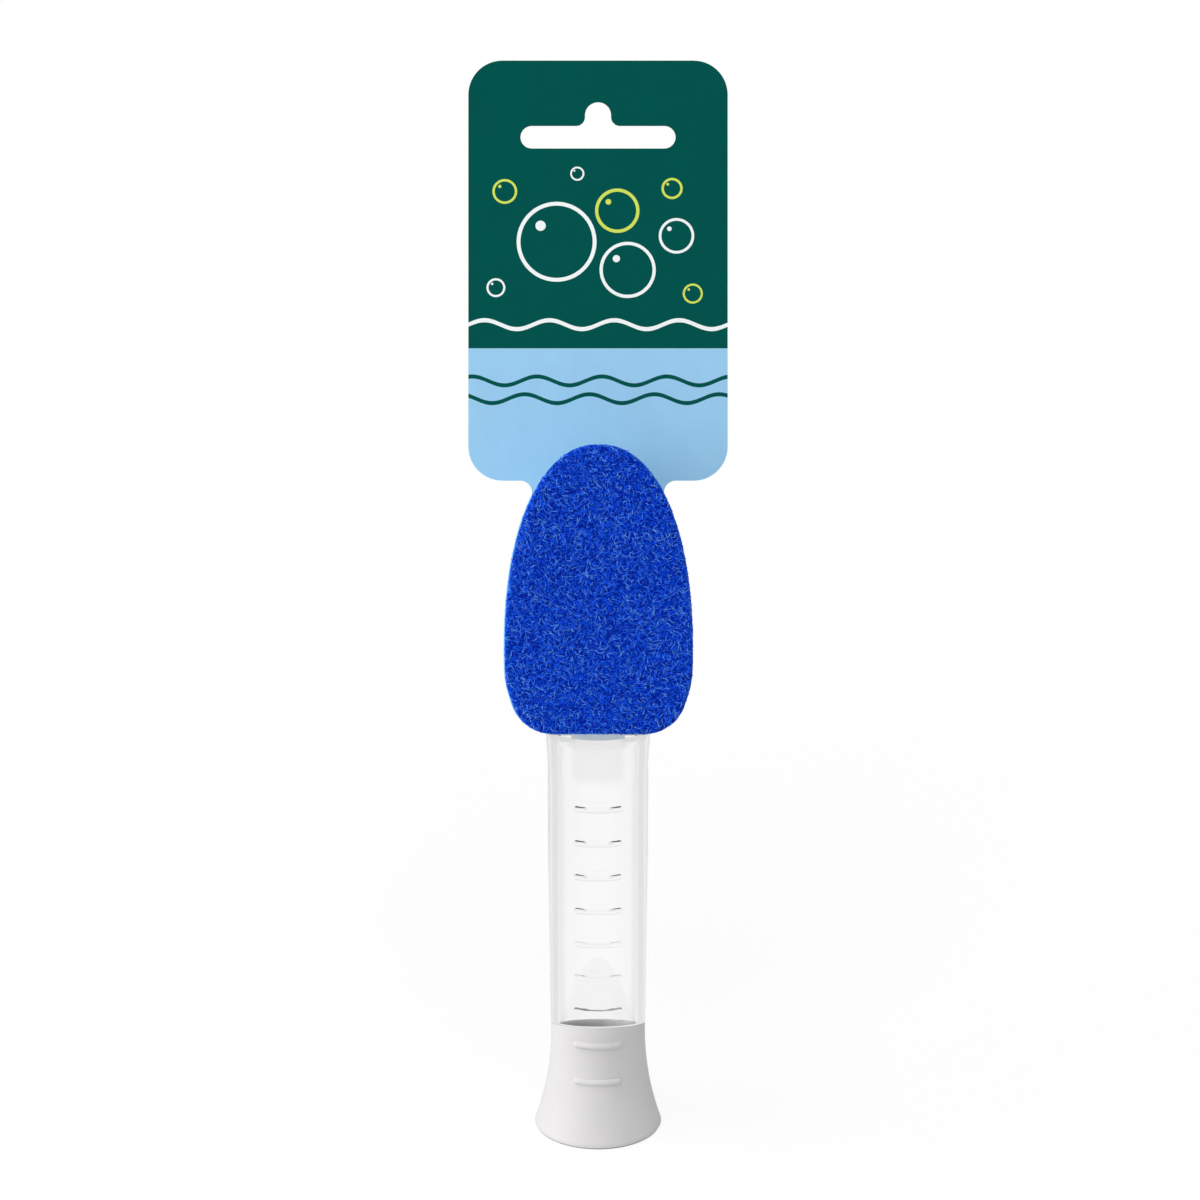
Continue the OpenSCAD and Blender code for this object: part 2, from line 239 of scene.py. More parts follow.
class Shader(Graph):
    """The node tree of one material."""

    def __init__(self, name: str) -> None:
        """Starts an empty material.

        Args:
            name: The material's name.
        """
        self.material = bpy.data.materials.new(name)
        self.material.use_nodes = True
        super().__init__(self.material.node_tree)
        self.out = self.add("ShaderNodeOutputMaterial")
        self.coords = self.add("ShaderNodeTexCoord").outputs["Object"]

    def noise(
        self, scale: float, detail: float = 2.0, inputs: Optional[dict] = None, **settings: str
    ) -> Socket:
        """Makes a noise on Object coordinates.

        Args:
            scale: How fine it is.
            detail: How many finer layers it has.
            inputs: Other inputs, or another vector.
            **settings: Attributes of the node.

        Returns:
            The noise's value.
        """
        given = {"Vector": self.coords, "Scale": scale, "Detail": detail, **(inputs or {})}
        return self.add("ShaderNodeTexNoise", given, **settings).outputs["Fac"]

    def ramp(self, value: Socket, *stops: tuple[float, Colour]) -> Socket:
        """Maps a value to colours.

        Args:
            value: The value to map.
            *stops: Places from 0 to 1, each with its linear colour.

        Returns:
            The colour socket.
        """
        node = self.add("ShaderNodeValToRGB", {"Fac": value})
        elements = node.color_ramp.elements
        while len(elements) < len(stops):
            elements.new(0.5)
        for element, (place, colour) in zip(elements, stops):
            element.position = place
            element.color = (*colour, 1.0)
        return node.outputs["Color"]

    def tones(self, value: Socket, low: Colour, high: Colour = WHITE[:3]) -> Socket:
        """Returns a noise value mapped onto two colours."""
        return self.ramp(value, (NOISE_RANGE[0], low), (NOISE_RANGE[1], high))

    def span(self, value: Socket, low: float, high: float) -> Socket:
        """Returns a noise value mapped onto low to high."""
        return self.remap(value, NOISE_RANGE, (low, high))

    def bump(self, *heights: tuple[Socket, float]) -> Socket:
        """Stacks bumps.

        Args:
            *heights: Height sockets, each with its depth in millimetres.

        Returns:
            The normal socket.
        """
        below: dict = {}
        for height, depth in heights:
            inputs = {"Height": height, "Strength": 1.0, "Distance": depth * MM, **below}
            below = {"Normal": self.add("ShaderNodeBump", inputs).outputs["Normal"]}
        return below["Normal"]

    def finish(self, surface: Socket) -> Material:
        """Links the surface and returns the material."""
        self.tree.links.new(surface, self.out.inputs["Surface"])
        return self.material

    def principled(self, inputs: dict) -> Material:
        """Returns the material with one Principled shader as its surface."""
        return self.finish(self.add("ShaderNodeBsdfPrincipled", inputs).outputs["BSDF"])


@dataclass(frozen=True)
class ClearPlastic:
    """Water-clear moulded plastic, thick enough to show its inner wall."""

    name: str = "clear_plastic"
    tint: Colour = (0.99, 0.99, 0.99)
    ior: float = 1.5
    depth_tint: Colour = (0.5, 0.505, 0.51)
    density: float = 16.0
    ripple: float = 0.002

    def build(self) -> Material:
        """Makes the finish, which lets lamp light through.

        Returns:
            The material.
        """
        shader = Shader(self.name)
        inputs = {
            "Base Color": (*self.tint, 1),
            "Transmission Weight": 1.0,
            "IOR": self.ior,
            "Roughness": shader.span(shader.noise(900, 3.0), 0.0, 0.015),
            "Normal": shader.bump((shader.noise(55, 1.0), self.ripple)),
        }
        glass = shader.add("ShaderNodeBsdfPrincipled", inputs).outputs["BSDF"]
        through = shader.add("ShaderNodeBsdfTransparent", {"Color": (*self.tint, 1)}).outputs["BSDF"]
        shadow = shader.add("ShaderNodeLightPath").outputs["Is Shadow Ray"]
        mix = shader.add("ShaderNodeMixShader", {0: shadow, 1: glass, 2: through}).outputs["Shader"]
        absorbed = {"Color": (*self.depth_tint, 1), "Density": self.density}
        depth = shader.add("ShaderNodeVolumeAbsorption", absorbed).outputs["Volume"]
        shader.tree.links.new(depth, shader.out.inputs["Volume"])
        return shader.finish(mix)


@dataclass(frozen=True)
class SatinPlastic:
    """Opaque moulded plastic with a fine spark-eroded texture and slight flow marks."""

    name: str
    colour: Colour
    roughness: float = 0.42
    grain: float = 0.012
    grain_scale: float = 2600.0
    glow: float = 0.0
    glow_reach: float = 3.0

    def build(self) -> Material:
        """Makes the finish.

        Returns:
            The material.
        """
        shader = Shader(self.name)
        flow = shader.noise(38, 4.0)
        grain = shader.noise(self.grain_scale)
        return shader.principled({
            "Base Color": shader.tones(flow, toned(self.colour, 0.965), toned(self.colour, 1.03, 0.95)),
            "Roughness": shader.span(grain, self.roughness - 0.05, self.roughness + 0.07),
            "Subsurface Weight": self.glow,
            "Subsurface Radius": (self.glow_reach * MM,) * 3,
            "Normal": shader.bump((flow, 0.05), (grain, self.grain)),
        })


@dataclass(frozen=True)
class SoftRubber:
    """Moulded rubber or silicone with a dusty, slightly mottled skin."""

    name: str
    colour: Colour
    roughness: float = 0.6
    clear: float = 0.0
    clear_reach: float = 0.002

    def build(self) -> Material:
        """Makes the finish.

        Returns:
            The material.
        """
        shader = Shader(self.name)
        mottle = shader.noise(420, 4.0)
        dust = shader.noise(3200)
        return shader.principled({
            "Base Color": shader.tones(mottle, toned(self.colour, 0.9), self.colour),
            "Roughness": shader.span(dust, self.roughness - 0.1, self.roughness + 0.1),
            "Subsurface Weight": self.clear,
            "Subsurface Radius": (self.clear_reach,) * 3,
            "Normal": shader.bump((mottle, 0.03), (dust, 0.01)),
        })


@dataclass(frozen=True)
class SpongeFoam:
    """Open foam, with fine pores between the modelled ones; the modelled pores get painted shade, darker where
    the attribute "pit" says they are deeper.
    """

    name: str = "sponge_foam"
    colour: Colour = linear(125, 195, 238)

    def build(self) -> Material:
        """Makes the finish.

        Returns:
            The material.
        """
        shader = Shader(self.name)
        fine = {"Vector": shader.coords, "Scale": 1300.0}
        cells = shader.add("ShaderNodeTexVoronoi", fine, feature="F1").outputs["Distance"]
        patches = shader.noise(160, 3.0)
        pit = shader.add("ShaderNodeAttribute", attribute_name="pit").outputs["Fac"]
        # Painted shade: the modelled pores darken with their depth in "pit".
        base = shader.ramp(pit, (0.0, self.colour), (0.9, toned(self.colour, 0.55)))
        return shader.principled({
            "Base Color": shader.blend(1.0, base, shader.tones(patches, (0.93, 0.95, 0.97)), "MULTIPLY"),
            "Roughness": 0.9,
            "Sheen Weight": 0.15,
            "Normal": shader.bump((cells, 0.35), (patches, 0.2)),
        })


@dataclass(frozen=True)
class ScouringWeb:
    """Dyed nylon fibres bonded into a web: attribute "strand" gives each its tone, and the core has 0; the
    core's darker tones are painted shade between the fibres.
    """

    name: str = "scouring_web"
    gap_shade: Colour = linear(0, 30, 142)
    dark: Colour = linear(0, 38, 172)
    body: Colour = linear(15, 88, 255)
    light: Colour = linear(42, 118, 255)
    pale: Colour = linear(122, 188, 255)
    core_below: float = 0.001

    def build(self) -> Material:
        """Makes the finish.

        Returns:
            The material.
        """
        shader = Shader(self.name)
        strand = shader.add("ShaderNodeAttribute", attribute_name="strand").outputs["Fac"]
        speck = shader.noise(2400)
        tone = shader.ramp(strand, (0.0, self.dark), (0.3, self.body), (0.75, self.light), (1.0, self.pale))
        fibres = shader.blend(1.0, tone, shader.tones(speck, (0.85, 0.87, 0.98)), "MULTIPLY")
        # The core shows a tangle of deeper fibres, and its darker tones are painted shade between the fibres.
        tangle = shader.noise(620.0, 2.0, {"Distortion": 1.4}, noise_type="RIDGED_MULTIFRACTAL")
        under = shader.ramp(tangle, (0.0, self.gap_shade), (0.35, self.dark), (0.8, self.body))
        on_core = shader.maths("LESS_THAN", strand, self.core_below)
        return shader.principled({
            "Base Color": shader.blend(on_core, fibres, under),
            "Roughness": shader.span(speck, 0.4, 0.6),
            "Specular IOR Level": 0.05,
            "Sheen Weight": 0.35,
            "Sheen Roughness": 0.5,
            "Sheen Tint": (0.02, 0.2, 1.0, 1.0),
            "Normal": shader.bump((speck, 0.02), (tangle, 0.12)),
        })


@dataclass(frozen=True)
class PrintedBoard:
    """Coated paperboard in one flat ink, with the board's soft unevenness under it."""

    name: str
    colour: Colour
    roughness: float = 0.38
    fibres: float = 0.01
    fibre_stretch: tuple[float, float, float] = (1.0, 1.0, 0.25)

    def build(self) -> Material:
        """Makes the finish.

        Returns:
            The material.
        """
        shader = Shader(self.name)
        cloud = shader.noise(90, 5.0, {"Roughness": 0.6})
        drawn = shader.add("ShaderNodeMapping", {"Vector": shader.coords, "Scale": self.fibre_stretch})
        fibre = shader.noise(2200.0, 3.0, {"Vector": drawn.outputs["Vector"]})
        return shader.principled({
            "Base Color": shader.tones(cloud, toned(self.colour, 0.965), toned(self.colour, 1.02, 0.92)),
            "Roughness": shader.span(fibre, self.roughness - 0.06, self.roughness + 0.08),
            "Specular IOR Level": 0.04,
            "Normal": shader.bump((cloud, 0.04), (fibre, self.fibres)),
        })


@dataclass(frozen=True)
class GripRibs:
    """The round-ended bars on the front of the handle and the cap, some of them lower in the middle."""

    centres: tuple[float, ...] = ()
    middles: tuple[float, ...] = ()
    ends: tuple[float, ...] = ()
    half: float = 8.2
    spread: float = 1.05
    dip_half: float = 2.8
    dip_run: float = 2.2
    firm_from: float = 0.7
    soft_power: float = 1.5
    power_drop: float = 0.95
    rows: tuple[float, ...] = (
        -1.3, -1.05, -0.95, -0.82, -0.65, -0.42, -0.15, 0.15, 0.42, 0.65, 0.82, 0.95, 1.05, 1.3,
    )

    def rise(self, x: Array, z: Array) -> Array:
        """Gives the height of the ribs over the skin.

        Args:
            x: Distance from the middle, seen from the front.
            z: Height of each point.

        Returns:
            Heights in millimetres, 0 between the ribs.
        """
        out = np.zeros(np.broadcast(x, z).shape)
        run = np.clip((np.abs(x) - self.dip_half) / self.dip_run, 0, 1)
        run = run * run * (3 - 2 * run)
        past = np.maximum(np.abs(x) - (self.half - self.spread), 0)
        for centre, middle, end in zip(self.centres, self.middles, self.ends):
            share = np.clip(1 - (past**2 + (z - centre) ** 2) / self.spread**2, 0, 1)
            firm = 1.0 if middle > self.firm_from else run
            power = self.soft_power - self.power_drop * firm
            out = np.maximum(out, (middle + (end - middle) * run) * share**power)
        return out


def front_dense_angles(radius: float) -> Array:
    """Spreads angles round a wand, closest where the ribs end and wide behind.

    Args:
        radius: Radius of the skin, in millimetres.

    Returns:
        Angles in radians, 0 at the front and growing towards +X.
    """
    # 0.55 mm apart along the ribs' middles, and 0.16 mm apart where the ribs end.
    across = np.concatenate([np.arange(0, 6.6, 0.55), np.arange(6.8, 8.7, 0.16)])
    side = np.arcsin(across / radius)
    rest = np.linspace(side[-1], math.pi, 48)[1:]
    right = np.concatenate([side, rest])
    return np.concatenate([right, -right[-2:0:-1]])


@dataclass
class TurnedSkin:
    """What the handle and the cap share: columns round the axis, a slanted seam and grip ribs."""

    ribs: GripRibs = GripRibs()
    seam_z: float = 38.5
    columns_r: float = 17.2

    def __post_init__(self) -> None:
        """Sets the columns that every ring shares."""
        self.angles = front_dense_angles(self.columns_r)
        self.sin, self.cos = np.sin(self.angles), np.cos(self.angles)

    def ring(self, radius: Array, z: Array) -> Array:
        """Returns a level or slanted ring."""
        r, z = np.broadcast_to(radius, self.sin.shape), np.broadcast_to(z, self.sin.shape)
        return np.stack([r * self.sin, -r * self.cos, z], axis=-1)

    def ribbed(self, radius: Array, z: Array) -> Array:
        """Returns a ring with the ribs on its front."""
        rise = self.ribs.rise(radius * self.sin, z)
        return self.ring(radius + np.where(self.cos > 0, rise, 0), z)

    def slant(self, radius: float) -> Array:
        """Returns the slanted seam's height round a radius."""
        return self.seam_z + radius * self.cos * SEAM_SLOPE


@dataclass
class ClearHandle(TurnedSkin):
    """The clear reservoir: spigot, ribbed skin, neck and the hollow inside, as one loft.

    The neck's sections are a rise above its foot and how far its back is drawn in. The landing is the right
    half of the neck's face under the shoe, given across and up the head, and ends in a round tip. The hollow's
    sections are the y and z of a centre, a radius and a lean in degrees.
    """

    seam_z: float = 38.56
    ribs: GripRibs = GripRibs(
        centres=tuple(126.5 - 12.7 * i for i in range(7)),
        middles=(0.4, 0.4, 0.4, 0.4, 0.4, 0.4, 0.14),
        ends=(1.15, 1.15, 1.1, 1.0, 0.55, 0.5, 0.35),
    )
    skin_foot: float = 16.4
    skin_grip: float = 17.2
    skin_neck: float = 18.5
    first_row: float = 48.2
    row_gap: float = 3.0
    grip_top: float = 100.0
    flare_start: float = 136.0
    flare_power: float = 1.25
    skin_top: float = 150.0
    neck_z: float = 154.5
    neck_taper: float = 0.3
    neck_sections: tuple[Point, ...] = ((0, 0), (3.49, 0.152), (6.95, 0.608), (10.35, 1.363))
    landing_w: float = -5.0
    landing: tuple[Point, ...] = ((13.46, -0.8), (14.1, 3.0), (14.1, 12.0))
    tip_u: float = 40.0
    tip_r: float = 9.0
    tip_turn: float = math.asin(5 / 28)
    corner_share: float = 0.05
    outlet_u: float = 24.0
    outlet_r: float = 4.0
    hollow: tuple[tuple[float, float, float, float], ...] = (
        (-3.25, 175.28, 4.05, 67.5), (-1.6, 174.6, 4.0, 67.5), (0.5, 173.7, 4.3, 67.0),
        (1.9, 173.3, 5.1, 58.0), (3.2, 172.0, 6.1, 42.0), (3.8, 169.3, 7.1, 25.0),
        (3.2, 165.0, 8.6, 12.0), (1.9, 158.5, 10.6, 7.0), (0.7, 152.4, 12.2, 4.0),
        (0.0, 148.5, 13.15, 1.0), (0.0, 145.5, 13.2, 0.0), (0.0, 143.0, 13.2, 0.0),
    )
    hollow_rows: int = 34
    spigot_z: float = 20.0
    spigot_r: float = 14.6
    bore_r: float = 13.2
    bore_top: float = 139.0
    bore_rows: int = 26
    crease: float = 50.0

    def skin_radius(self, z: Array) -> Array:
        """Gives the plain skin's radius.

        Args:
            z: The heights.

        Returns:
            The radius at each height.
        """
        up = np.clip((z - self.seam_z) / (self.grip_top - self.seam_z), 0, 1)
        share = np.clip((z - self.flare_start) / (self.neck_z - self.flare_start), 0, 1)
        taper = self.skin_foot + (self.skin_grip - self.skin_foot) * up
        return taper + (self.skin_neck - self.skin_grip) * share**self.flare_power

    def skin_ring(self, z: Array) -> Array:
        """Returns a ring of the skin with its ribs."""
        z = np.broadcast_to(z, self.sin.shape)
        return self.ribbed(self.skin_radius(z), z)

    def skin_rows(self) -> list[float]:
        """Lists the level rows of the skin, closest across the ribs.

        Returns:
            The rows' heights.
        """
        rows = [self.first_row]
        for centre in sorted(self.ribs.centres):
            low = centre + self.ribs.rows[0]
            if low - rows[-1] > self.row_gap:
                rows += list(np.linspace(rows[-1], low, 5)[1:-1])
            rows += [centre + step for step in self.ribs.rows]
        return rows + list(np.linspace(rows[-1], self.skin_top, 12)[1:])

    def landing_edge(self) -> Array:
        """Returns the landing's outline from its lower corner to its tip."""
        turns = np.linspace(self.tip_turn, math.pi / 2, 14)
        tip = [(self.tip_r * math.cos(turn), self.tip_u + self.tip_r * math.sin(turn)) for turn in turns]
        return np.array([*self.landing, *tip])

    def front_path(self, turn: float) -> list[Array]:
        """Lays one path from the neck's front edge over the ledge to the landing.

        Args:
            turn: Angle of the column, from the front.

        Returns:
            The path's points.
        """
        edge_y, edge_z = on_head(0, self.landing[0][1], self.landing_w)[1:]
        y = -self.skin_neck * math.cos(turn)
        top = np.array([self.skin_neck * math.sin(turn), y, edge_z - (y - edge_y) * math.tan(TILT)])
        end = np.array([top[0], edge_y, edge_z])
        return [top + (end - top) * t for t in (0.0, 0.25, 0.5, 0.75)] + [end]

    def back_path(self, turn: float, share: float, outline: Array) -> list[Array]:
        """Lays one path up the neck's back and over to the landing.

        Args:
            turn: Angle of the column, from the front.
            share: How far round the landing the path ends.
            outline: The landing's outline.

        Returns:
            The path's points.
        """
        steps = travel(outline)
        place = points_at(outline, steps, share * steps[-1])
        end, back = (on_head(*place, self.landing_w - depth) for depth in (0, 1))
        levels = []
        for rise, draw in self.neck_sections:
            r = self.skin_neck - self.neck_taper * rise
            cy = self.skin_neck - draw - r
            levels.append(np.array([r * math.sin(turn), cy - r * math.cos(turn), self.neck_z + rise]))
        kept = [self.behind_face(point, end) for point in [*levels, levels[-1] * 0.4 + back * 0.6]]
        if share < self.corner_share:
            return [kept[0] + (end - kept[0]) * t for t in (0.0, 0.25, 0.5, 0.75)] + [end]
        return [kept[0], *kept[2:], end]

    def behind_face(self, point: Array, end: Array) -> Array:
        """Returns a point, pulled back if it stands in front of the shoe's plane through the end."""
        past = float((point - end) @ FORWARD)
        return point - np.array(FORWARD) * past if past > 0 else point

    def neck_rings(self) -> list[Array]:
        """Lays one path per column over the neck, and rings across the paths.

        Returns:
            The rings from the skin's top to the landing.
        """
        edge_y = on_head(0, self.landing[0][1], self.landing_w)[1]
        corner = math.acos(-edge_y / self.skin_neck)
        outline = self.landing_edge()
        firsts, seconds = [], []
        for angle in self.angles:
            turn = abs(angle)
            share = (turn - corner) / (math.pi - corner)
            path = self.front_path(turn) if turn <= corner else self.back_path(turn, share, outline)
            start = np.array([math.sin(turn), -math.cos(turn), 0]) * self.skin_radius(self.skin_top)
            start[2] = self.skin_top
            side = np.array([math.copysign(1.0, angle), 1, 1])
            firsts.append(side * [start, (start + path[0]) / 2, path[0]])
            seconds.append(side * path)
        shares = (0.03, *np.linspace(0.1, 0.9, 11), 0.975, 1.0)
        return [self.across(firsts, t) for t in (0.25, 0.5, 0.75, 0.93, 1.0)] + [
            self.across(seconds, t) for t in shares
        ]

    def across(self, paths: Sequence[Array], share: float) -> Array:
        """Returns the point of each path at a share of its length."""
        return np.array([points_at(path, travel(path), share * travel(path)[-1]) for path in paths])

    def outlet_rings(self, edge: Array) -> tuple[list[Array], Array]:
        """Lays rings over the landing and into the outlet.

        Args:
            edge: The landing's outline, one point per column.

        Returns:
            The rings, and the angle of each column round the outlet.
        """
        centre, up = on_head(0, self.outlet_u, self.landing_w), np.array(UP_HEAD)
        across, rise = edge[:, 0], (edge - centre) @ up
        turn = np.arctan2(across, -rise)
        rings = []
        for share in (0.04, 0.35, 0.7, 0.96):
            radius = np.hypot(across, rise) * (1 - share) + self.outlet_r * share
            out = np.outer(radius * np.sin(turn), [1, 0, 0]) - np.outer(radius * np.cos(turn), up)
            rings.append(centre + out)
        return rings, turn

    def hollow_rings(self, outlet_turn: Array) -> list[Array]:
        """Lays rings down the hollow, on a smooth curve through its sections.

        Args:
            outlet_turn: The angle of each column round the outlet.

        Returns:
            The rings, from the outlet down to the bore.
        """
        keys = np.array(self.hollow)
        last = len(keys) - 1
        rings = []
        for place in np.linspace(0, last, self.hollow_rows):
            i = min(int(place), last - 1)
            t = place - i
            before, a, b, after = keys[max(i - 1, 0)], keys[i], keys[i + 1], keys[min(i + 2, last)]
            y, z, r, lean = 0.5 * (
                2 * a + (b - before) * t + (2 * before - 5 * a + 4 * b - after) * t**2
                + (3 * a - before - 3 * b + after) * t**3
            )
            share = place / last
            turn = outlet_turn * (1 - share) + self.angles * share
            lean = math.radians(lean)
            front = np.array([0, -math.cos(lean), -math.sin(lean)])
            out = np.outer(r * np.sin(turn), [1, 0, 0]) + np.outer(r * np.cos(turn), front)
            rings.append(np.array([0, y, z]) + out)
        return rings

    def build(self) -> Piece:
        """Builds the handle as one closed skin.

        Returns:
            The finished object.
        """
        end_z, peg, skin = self.spigot_z, self.spigot_r, self.skin_foot
        top, foot, rows = self.slant(peg), self.slant(skin), self.skin_rows()
        sections = [
            (self.bore_r + 0.25, end_z), (peg - 0.3, end_z), (peg - 0.08, end_z + 0.08), (peg, end_z + 0.3),
            *((peg, end_z + (top - end_z) * share) for share in (0.3, 0.6, 0.9)),
            (peg, top - 0.15), (peg + 0.1, top),
            (skin - 0.3, self.slant(skin - 0.3)), (skin - 0.08, foot + 0.07),
            (self.skin_radius(foot), foot + 0.3),
        ]
        rings = [self.ring(radius, z) for radius, z in sections]
        for share in (0.12, 0.25, 0.4, 0.55, 0.7, 0.85):
            rings.append(self.skin_ring(foot + 0.3 + (rows[0] - foot - 0.3) * share))
        rings += [self.skin_ring(z) for z in rows]
        rings += self.neck_rings()
        outlet, outlet_turn = self.outlet_rings(rings[-1])
        rings += outlet + self.hollow_rings(outlet_turn)
        rings += [self.ring(self.bore_r, z) for z in np.linspace(self.bore_top, end_z + 0.3, self.bore_rows)]
        rings.append(self.ring(self.bore_r + 0.05, end_z + 0.1))
        return skin_through("clear_grip", rings, looped=True)

    def dress(self) -> Piece:
        """Builds the handle, gives it its finish and puts it on its body.

        Returns:
            The finished object.
        """
        obj = self.build()
        obj.data.set_sharp_from_angle(angle=math.radians(self.crease))
        obj.data.materials.append(ClearPlastic().build())
        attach(obj, Body.HANDLE.value)
        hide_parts("handle")
        return obj


@dataclass
class FootCap(TurnedSkin):
    """The flared cap with its slanted rim, its two ribs, its socket and its hollow foot."""

    ribs: GripRibs = GripRibs(centres=(36.9, 23.4), middles=(0.85, 0.85), ends=(0.85, 0.85))
    columns_r: float = 17.25
    top_r: float = 16.25
    base_r: float = 22.2
    flare_h: float = 36.0
    level_z: float = 27.0
    step_z: float = 0.65
    step_in: float = 0.3
    edge_r: float = 0.25
    socket_r: float = 14.7
    floor_z: float = 18.0
    under_floor_z: float = 16.0
    foot_wall: float = 2.6
    disc_seat_r: float = 19.55
    disc_t: float = 1.6
    crease: float = 55.0
    finishes: tuple[SatinPlastic, ...] = (
        SatinPlastic("cap_plastic", linear(218, 216, 216), 0.45, glow=0.25),
        # Painted light: a lighter copy of the cap plastic, with strong subsurface, lifts the shade inside the
        # socket.
        SatinPlastic("socket_lit_plastic", linear(246, 246, 246), 0.3, glow=1.0, glow_reach=9.0),
        # Painted shade: a darker copy of the cap plastic for the step at the foot, drawn as a shadow line
        # along the base.
        SatinPlastic("foot_shade_line", linear(168, 167, 167), 0.5),
    )

    def radius(self, z: Array) -> Array:
        """Gives the flare's radius.

        Args:
            z: The heights.

        Returns:
            The radius at each height.
        """
        rise = self.base_r - self.top_r
        arc = (self.flare_h**2 + rise**2) / (2 * rise)
        return self.top_r + arc - np.sqrt(arc**2 - np.maximum(self.flare_h - z, 0) ** 2)

    def outer_ring(self, z: Array) -> Array:
        """Returns a ring of the outside with its ribs."""
        z = np.broadcast_to(z, self.sin.shape)
        return self.ribbed(self.radius(z), z)

    def socket_sections(self) -> list[tuple[float, Array]]:
        """Lists the sections from the middle of the socket's floor over the rim to the outside.

        Returns:
            The radius and the height of each.
        """
        bore, floor, top = self.socket_r, self.floor_z, self.top_r
        rim_in, rim_out = self.slant(bore), self.slant(top)
        return [
            *((r, floor) for r in (2.0, 7.0, 11.0, bore - 0.4)),
            (bore - 0.1, floor + 0.1), (bore, floor + 0.4),
            *((bore, floor + (rim_in - floor) * share) for share in (0.33, 0.66)),
            (bore, rim_in - 0.2), (bore + 0.12, rim_in - 0.02),
            *((r, self.slant(r)) for r in (bore + 0.5, top - 0.35)),
            (top - 0.12, rim_out - 0.04), (top, rim_out - 0.3),
        ]

    def foot_sections(self) -> list[Point]:
        """Lists the sections from the step at the foot to the middle of the floor's underside.

        Returns:
            The radius and the height of each.
        """
        lip, seat, under = self.radius(self.step_z), self.disc_seat_r, self.under_floor_z
        sections = [(lip - 0.05, self.step_z), (lip - self.step_in, self.step_z)]
        for turn in (0.0, 45.0, 90.0):
            angle = math.radians(turn)
            reach = lip - self.step_in - self.edge_r * (1 - math.cos(angle))
            sections.append((reach, self.edge_r * (1 - math.sin(angle))))
        sections += [(seat + 0.25, 0.0), (seat, 0.2), (seat, self.disc_t - 0.1)]
        inner = (self.disc_t, 4.0, 7.0, 10.0, 13.0, under - 0.5)
        sections += [(self.radius(z) - self.foot_wall, z) for z in inner]
        last = self.radius(under) - self.foot_wall
        return sections + [(r, under) for r in (last - 0.5, 10.0, 5.0, 2.0)]

    def build(self) -> Piece:
        """Builds the cap as one closed skin from its socket's floor to the underside of that floor.

        Returns:
            The finished object.
        """
        rings = [self.ring(radius, z) for radius, z in self.socket_sections()]
        start = self.slant(self.top_r)
        for share in np.linspace(0, 1, 52)[1:-1]:
            rings.append(self.outer_ring(start - 0.3 + (self.level_z - start + 0.3) * share))
        rows = [self.level_z, self.level_z - 1]
        rows += [self.ribs.centres[1] + step for step in reversed(self.ribs.rows)]
        rows += list(np.linspace(rows[-1], self.step_z + 0.06, 16)[1:])
        rings += [self.outer_ring(z) for z in rows]
        rings += [self.ring(radius, z) for radius, z in self.foot_sections()]
        return skin_through("foot_cap", rings, looped=False)

    def dress(self) -> Piece:
        """Builds the cap, gives it its finishes and puts it on its body.

        Returns:
            The finished object.
        """
        obj = self.build()
        obj.data.set_sharp_from_angle(angle=math.radians(self.crease))
        for finish in self.finishes:
            obj.data.materials.append(finish.build())
        for face in obj.data.polygons:
            reach = math.hypot(face.center.x, face.center.y) / MM
            height = face.center.z / MM
            # Painted light: the socket's inside takes the lighter copy, to lift its shade.
            if height > self.floor_z - 0.1 and reach < self.socket_r + 0.08:
                face.material_index = 1
            # Painted shade: the faces of the step at the foot take the darker copy, a shadow line along the
            # base.
            elif 0.01 < height < self.step_z and reach > self.disc_seat_r + 1:
                face.material_index = 2
        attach(obj, Body.CAP.value)
        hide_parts("cap_shell")
        return obj


@dataclass(frozen=True)
class HeadOutline:
    """The egg-shaped outline that the pad and the sponge share."""

    half_width: float = 31.7
    length: float = 97.2
    widest: float = 28.0
    tip_power: float = 2 / 2.2
    heel_power: float = 2 / 3
    corner_r: float = 14.6
    flat_half: float = 15.2
    points: int = 420

    def curve(self, inset: float = 0.0) -> Array:
        """Samples the outline evenly.

        Args:
            inset: Distance by which it is drawn in.

        Returns:
            Points across and up the head, counter-clockwise from the heel's middle.
        """
        turns = np.radians(np.arange(0, 360, 3))
        cos, sin = np.cos(turns), np.sin(turns)
        power = np.where(sin >= 0, self.tip_power, self.heel_power)
        reach = np.where(sin >= 0, self.length - self.widest, self.widest)
        across = self.half_width * np.sign(cos) * np.abs(cos) ** power
        egg = np.stack([across, self.widest + reach * np.sign(sin) * np.abs(sin) ** power], axis=1)
        ring = np.stack([cos, sin], axis=1) * self.corner_r
        corners = [ring + [side * self.flat_half, self.corner_r] for side in (-1, 1)]
        hull = self.hull(np.vstack([egg, *corners]))
        closed = np.vstack([hull, hull[:1]])
        steps = travel(closed)
        curve = points_at(closed, steps, np.linspace(0, steps[-1], self.points, endpoint=False))
        along = np.roll(curve, -2, axis=0) - np.roll(curve, 2, axis=0)
        along /= np.linalg.norm(along, axis=1)[:, None]
        inward = np.stack([-along[:, 1], along[:, 0]], axis=1)
        return curve + inward * inset

    def hull(self, cloud: Array) -> Array:
        """Finds the convex hull of flat points.

        Args:
            cloud: The points.

        Returns:
            The hull's corners, counter-clockwise.
        """
        order = sorted({(round(float(x), 6), round(float(y), 6)) for x, y in cloud})
        chains = []
        for points in (order, order[::-1]):
            chain: list[Point] = []
            for p in points:
                while len(chain) > 1 and (
                    (chain[-1][0] - chain[-2][0]) * (p[1] - chain[-2][1])
                    - (chain[-1][1] - chain[-2][1]) * (p[0] - chain[-2][0])
                ) <= 0:
                    chain.pop()
                chain.append(p)
            chains += chain[:-1]
        return np.array(chains)


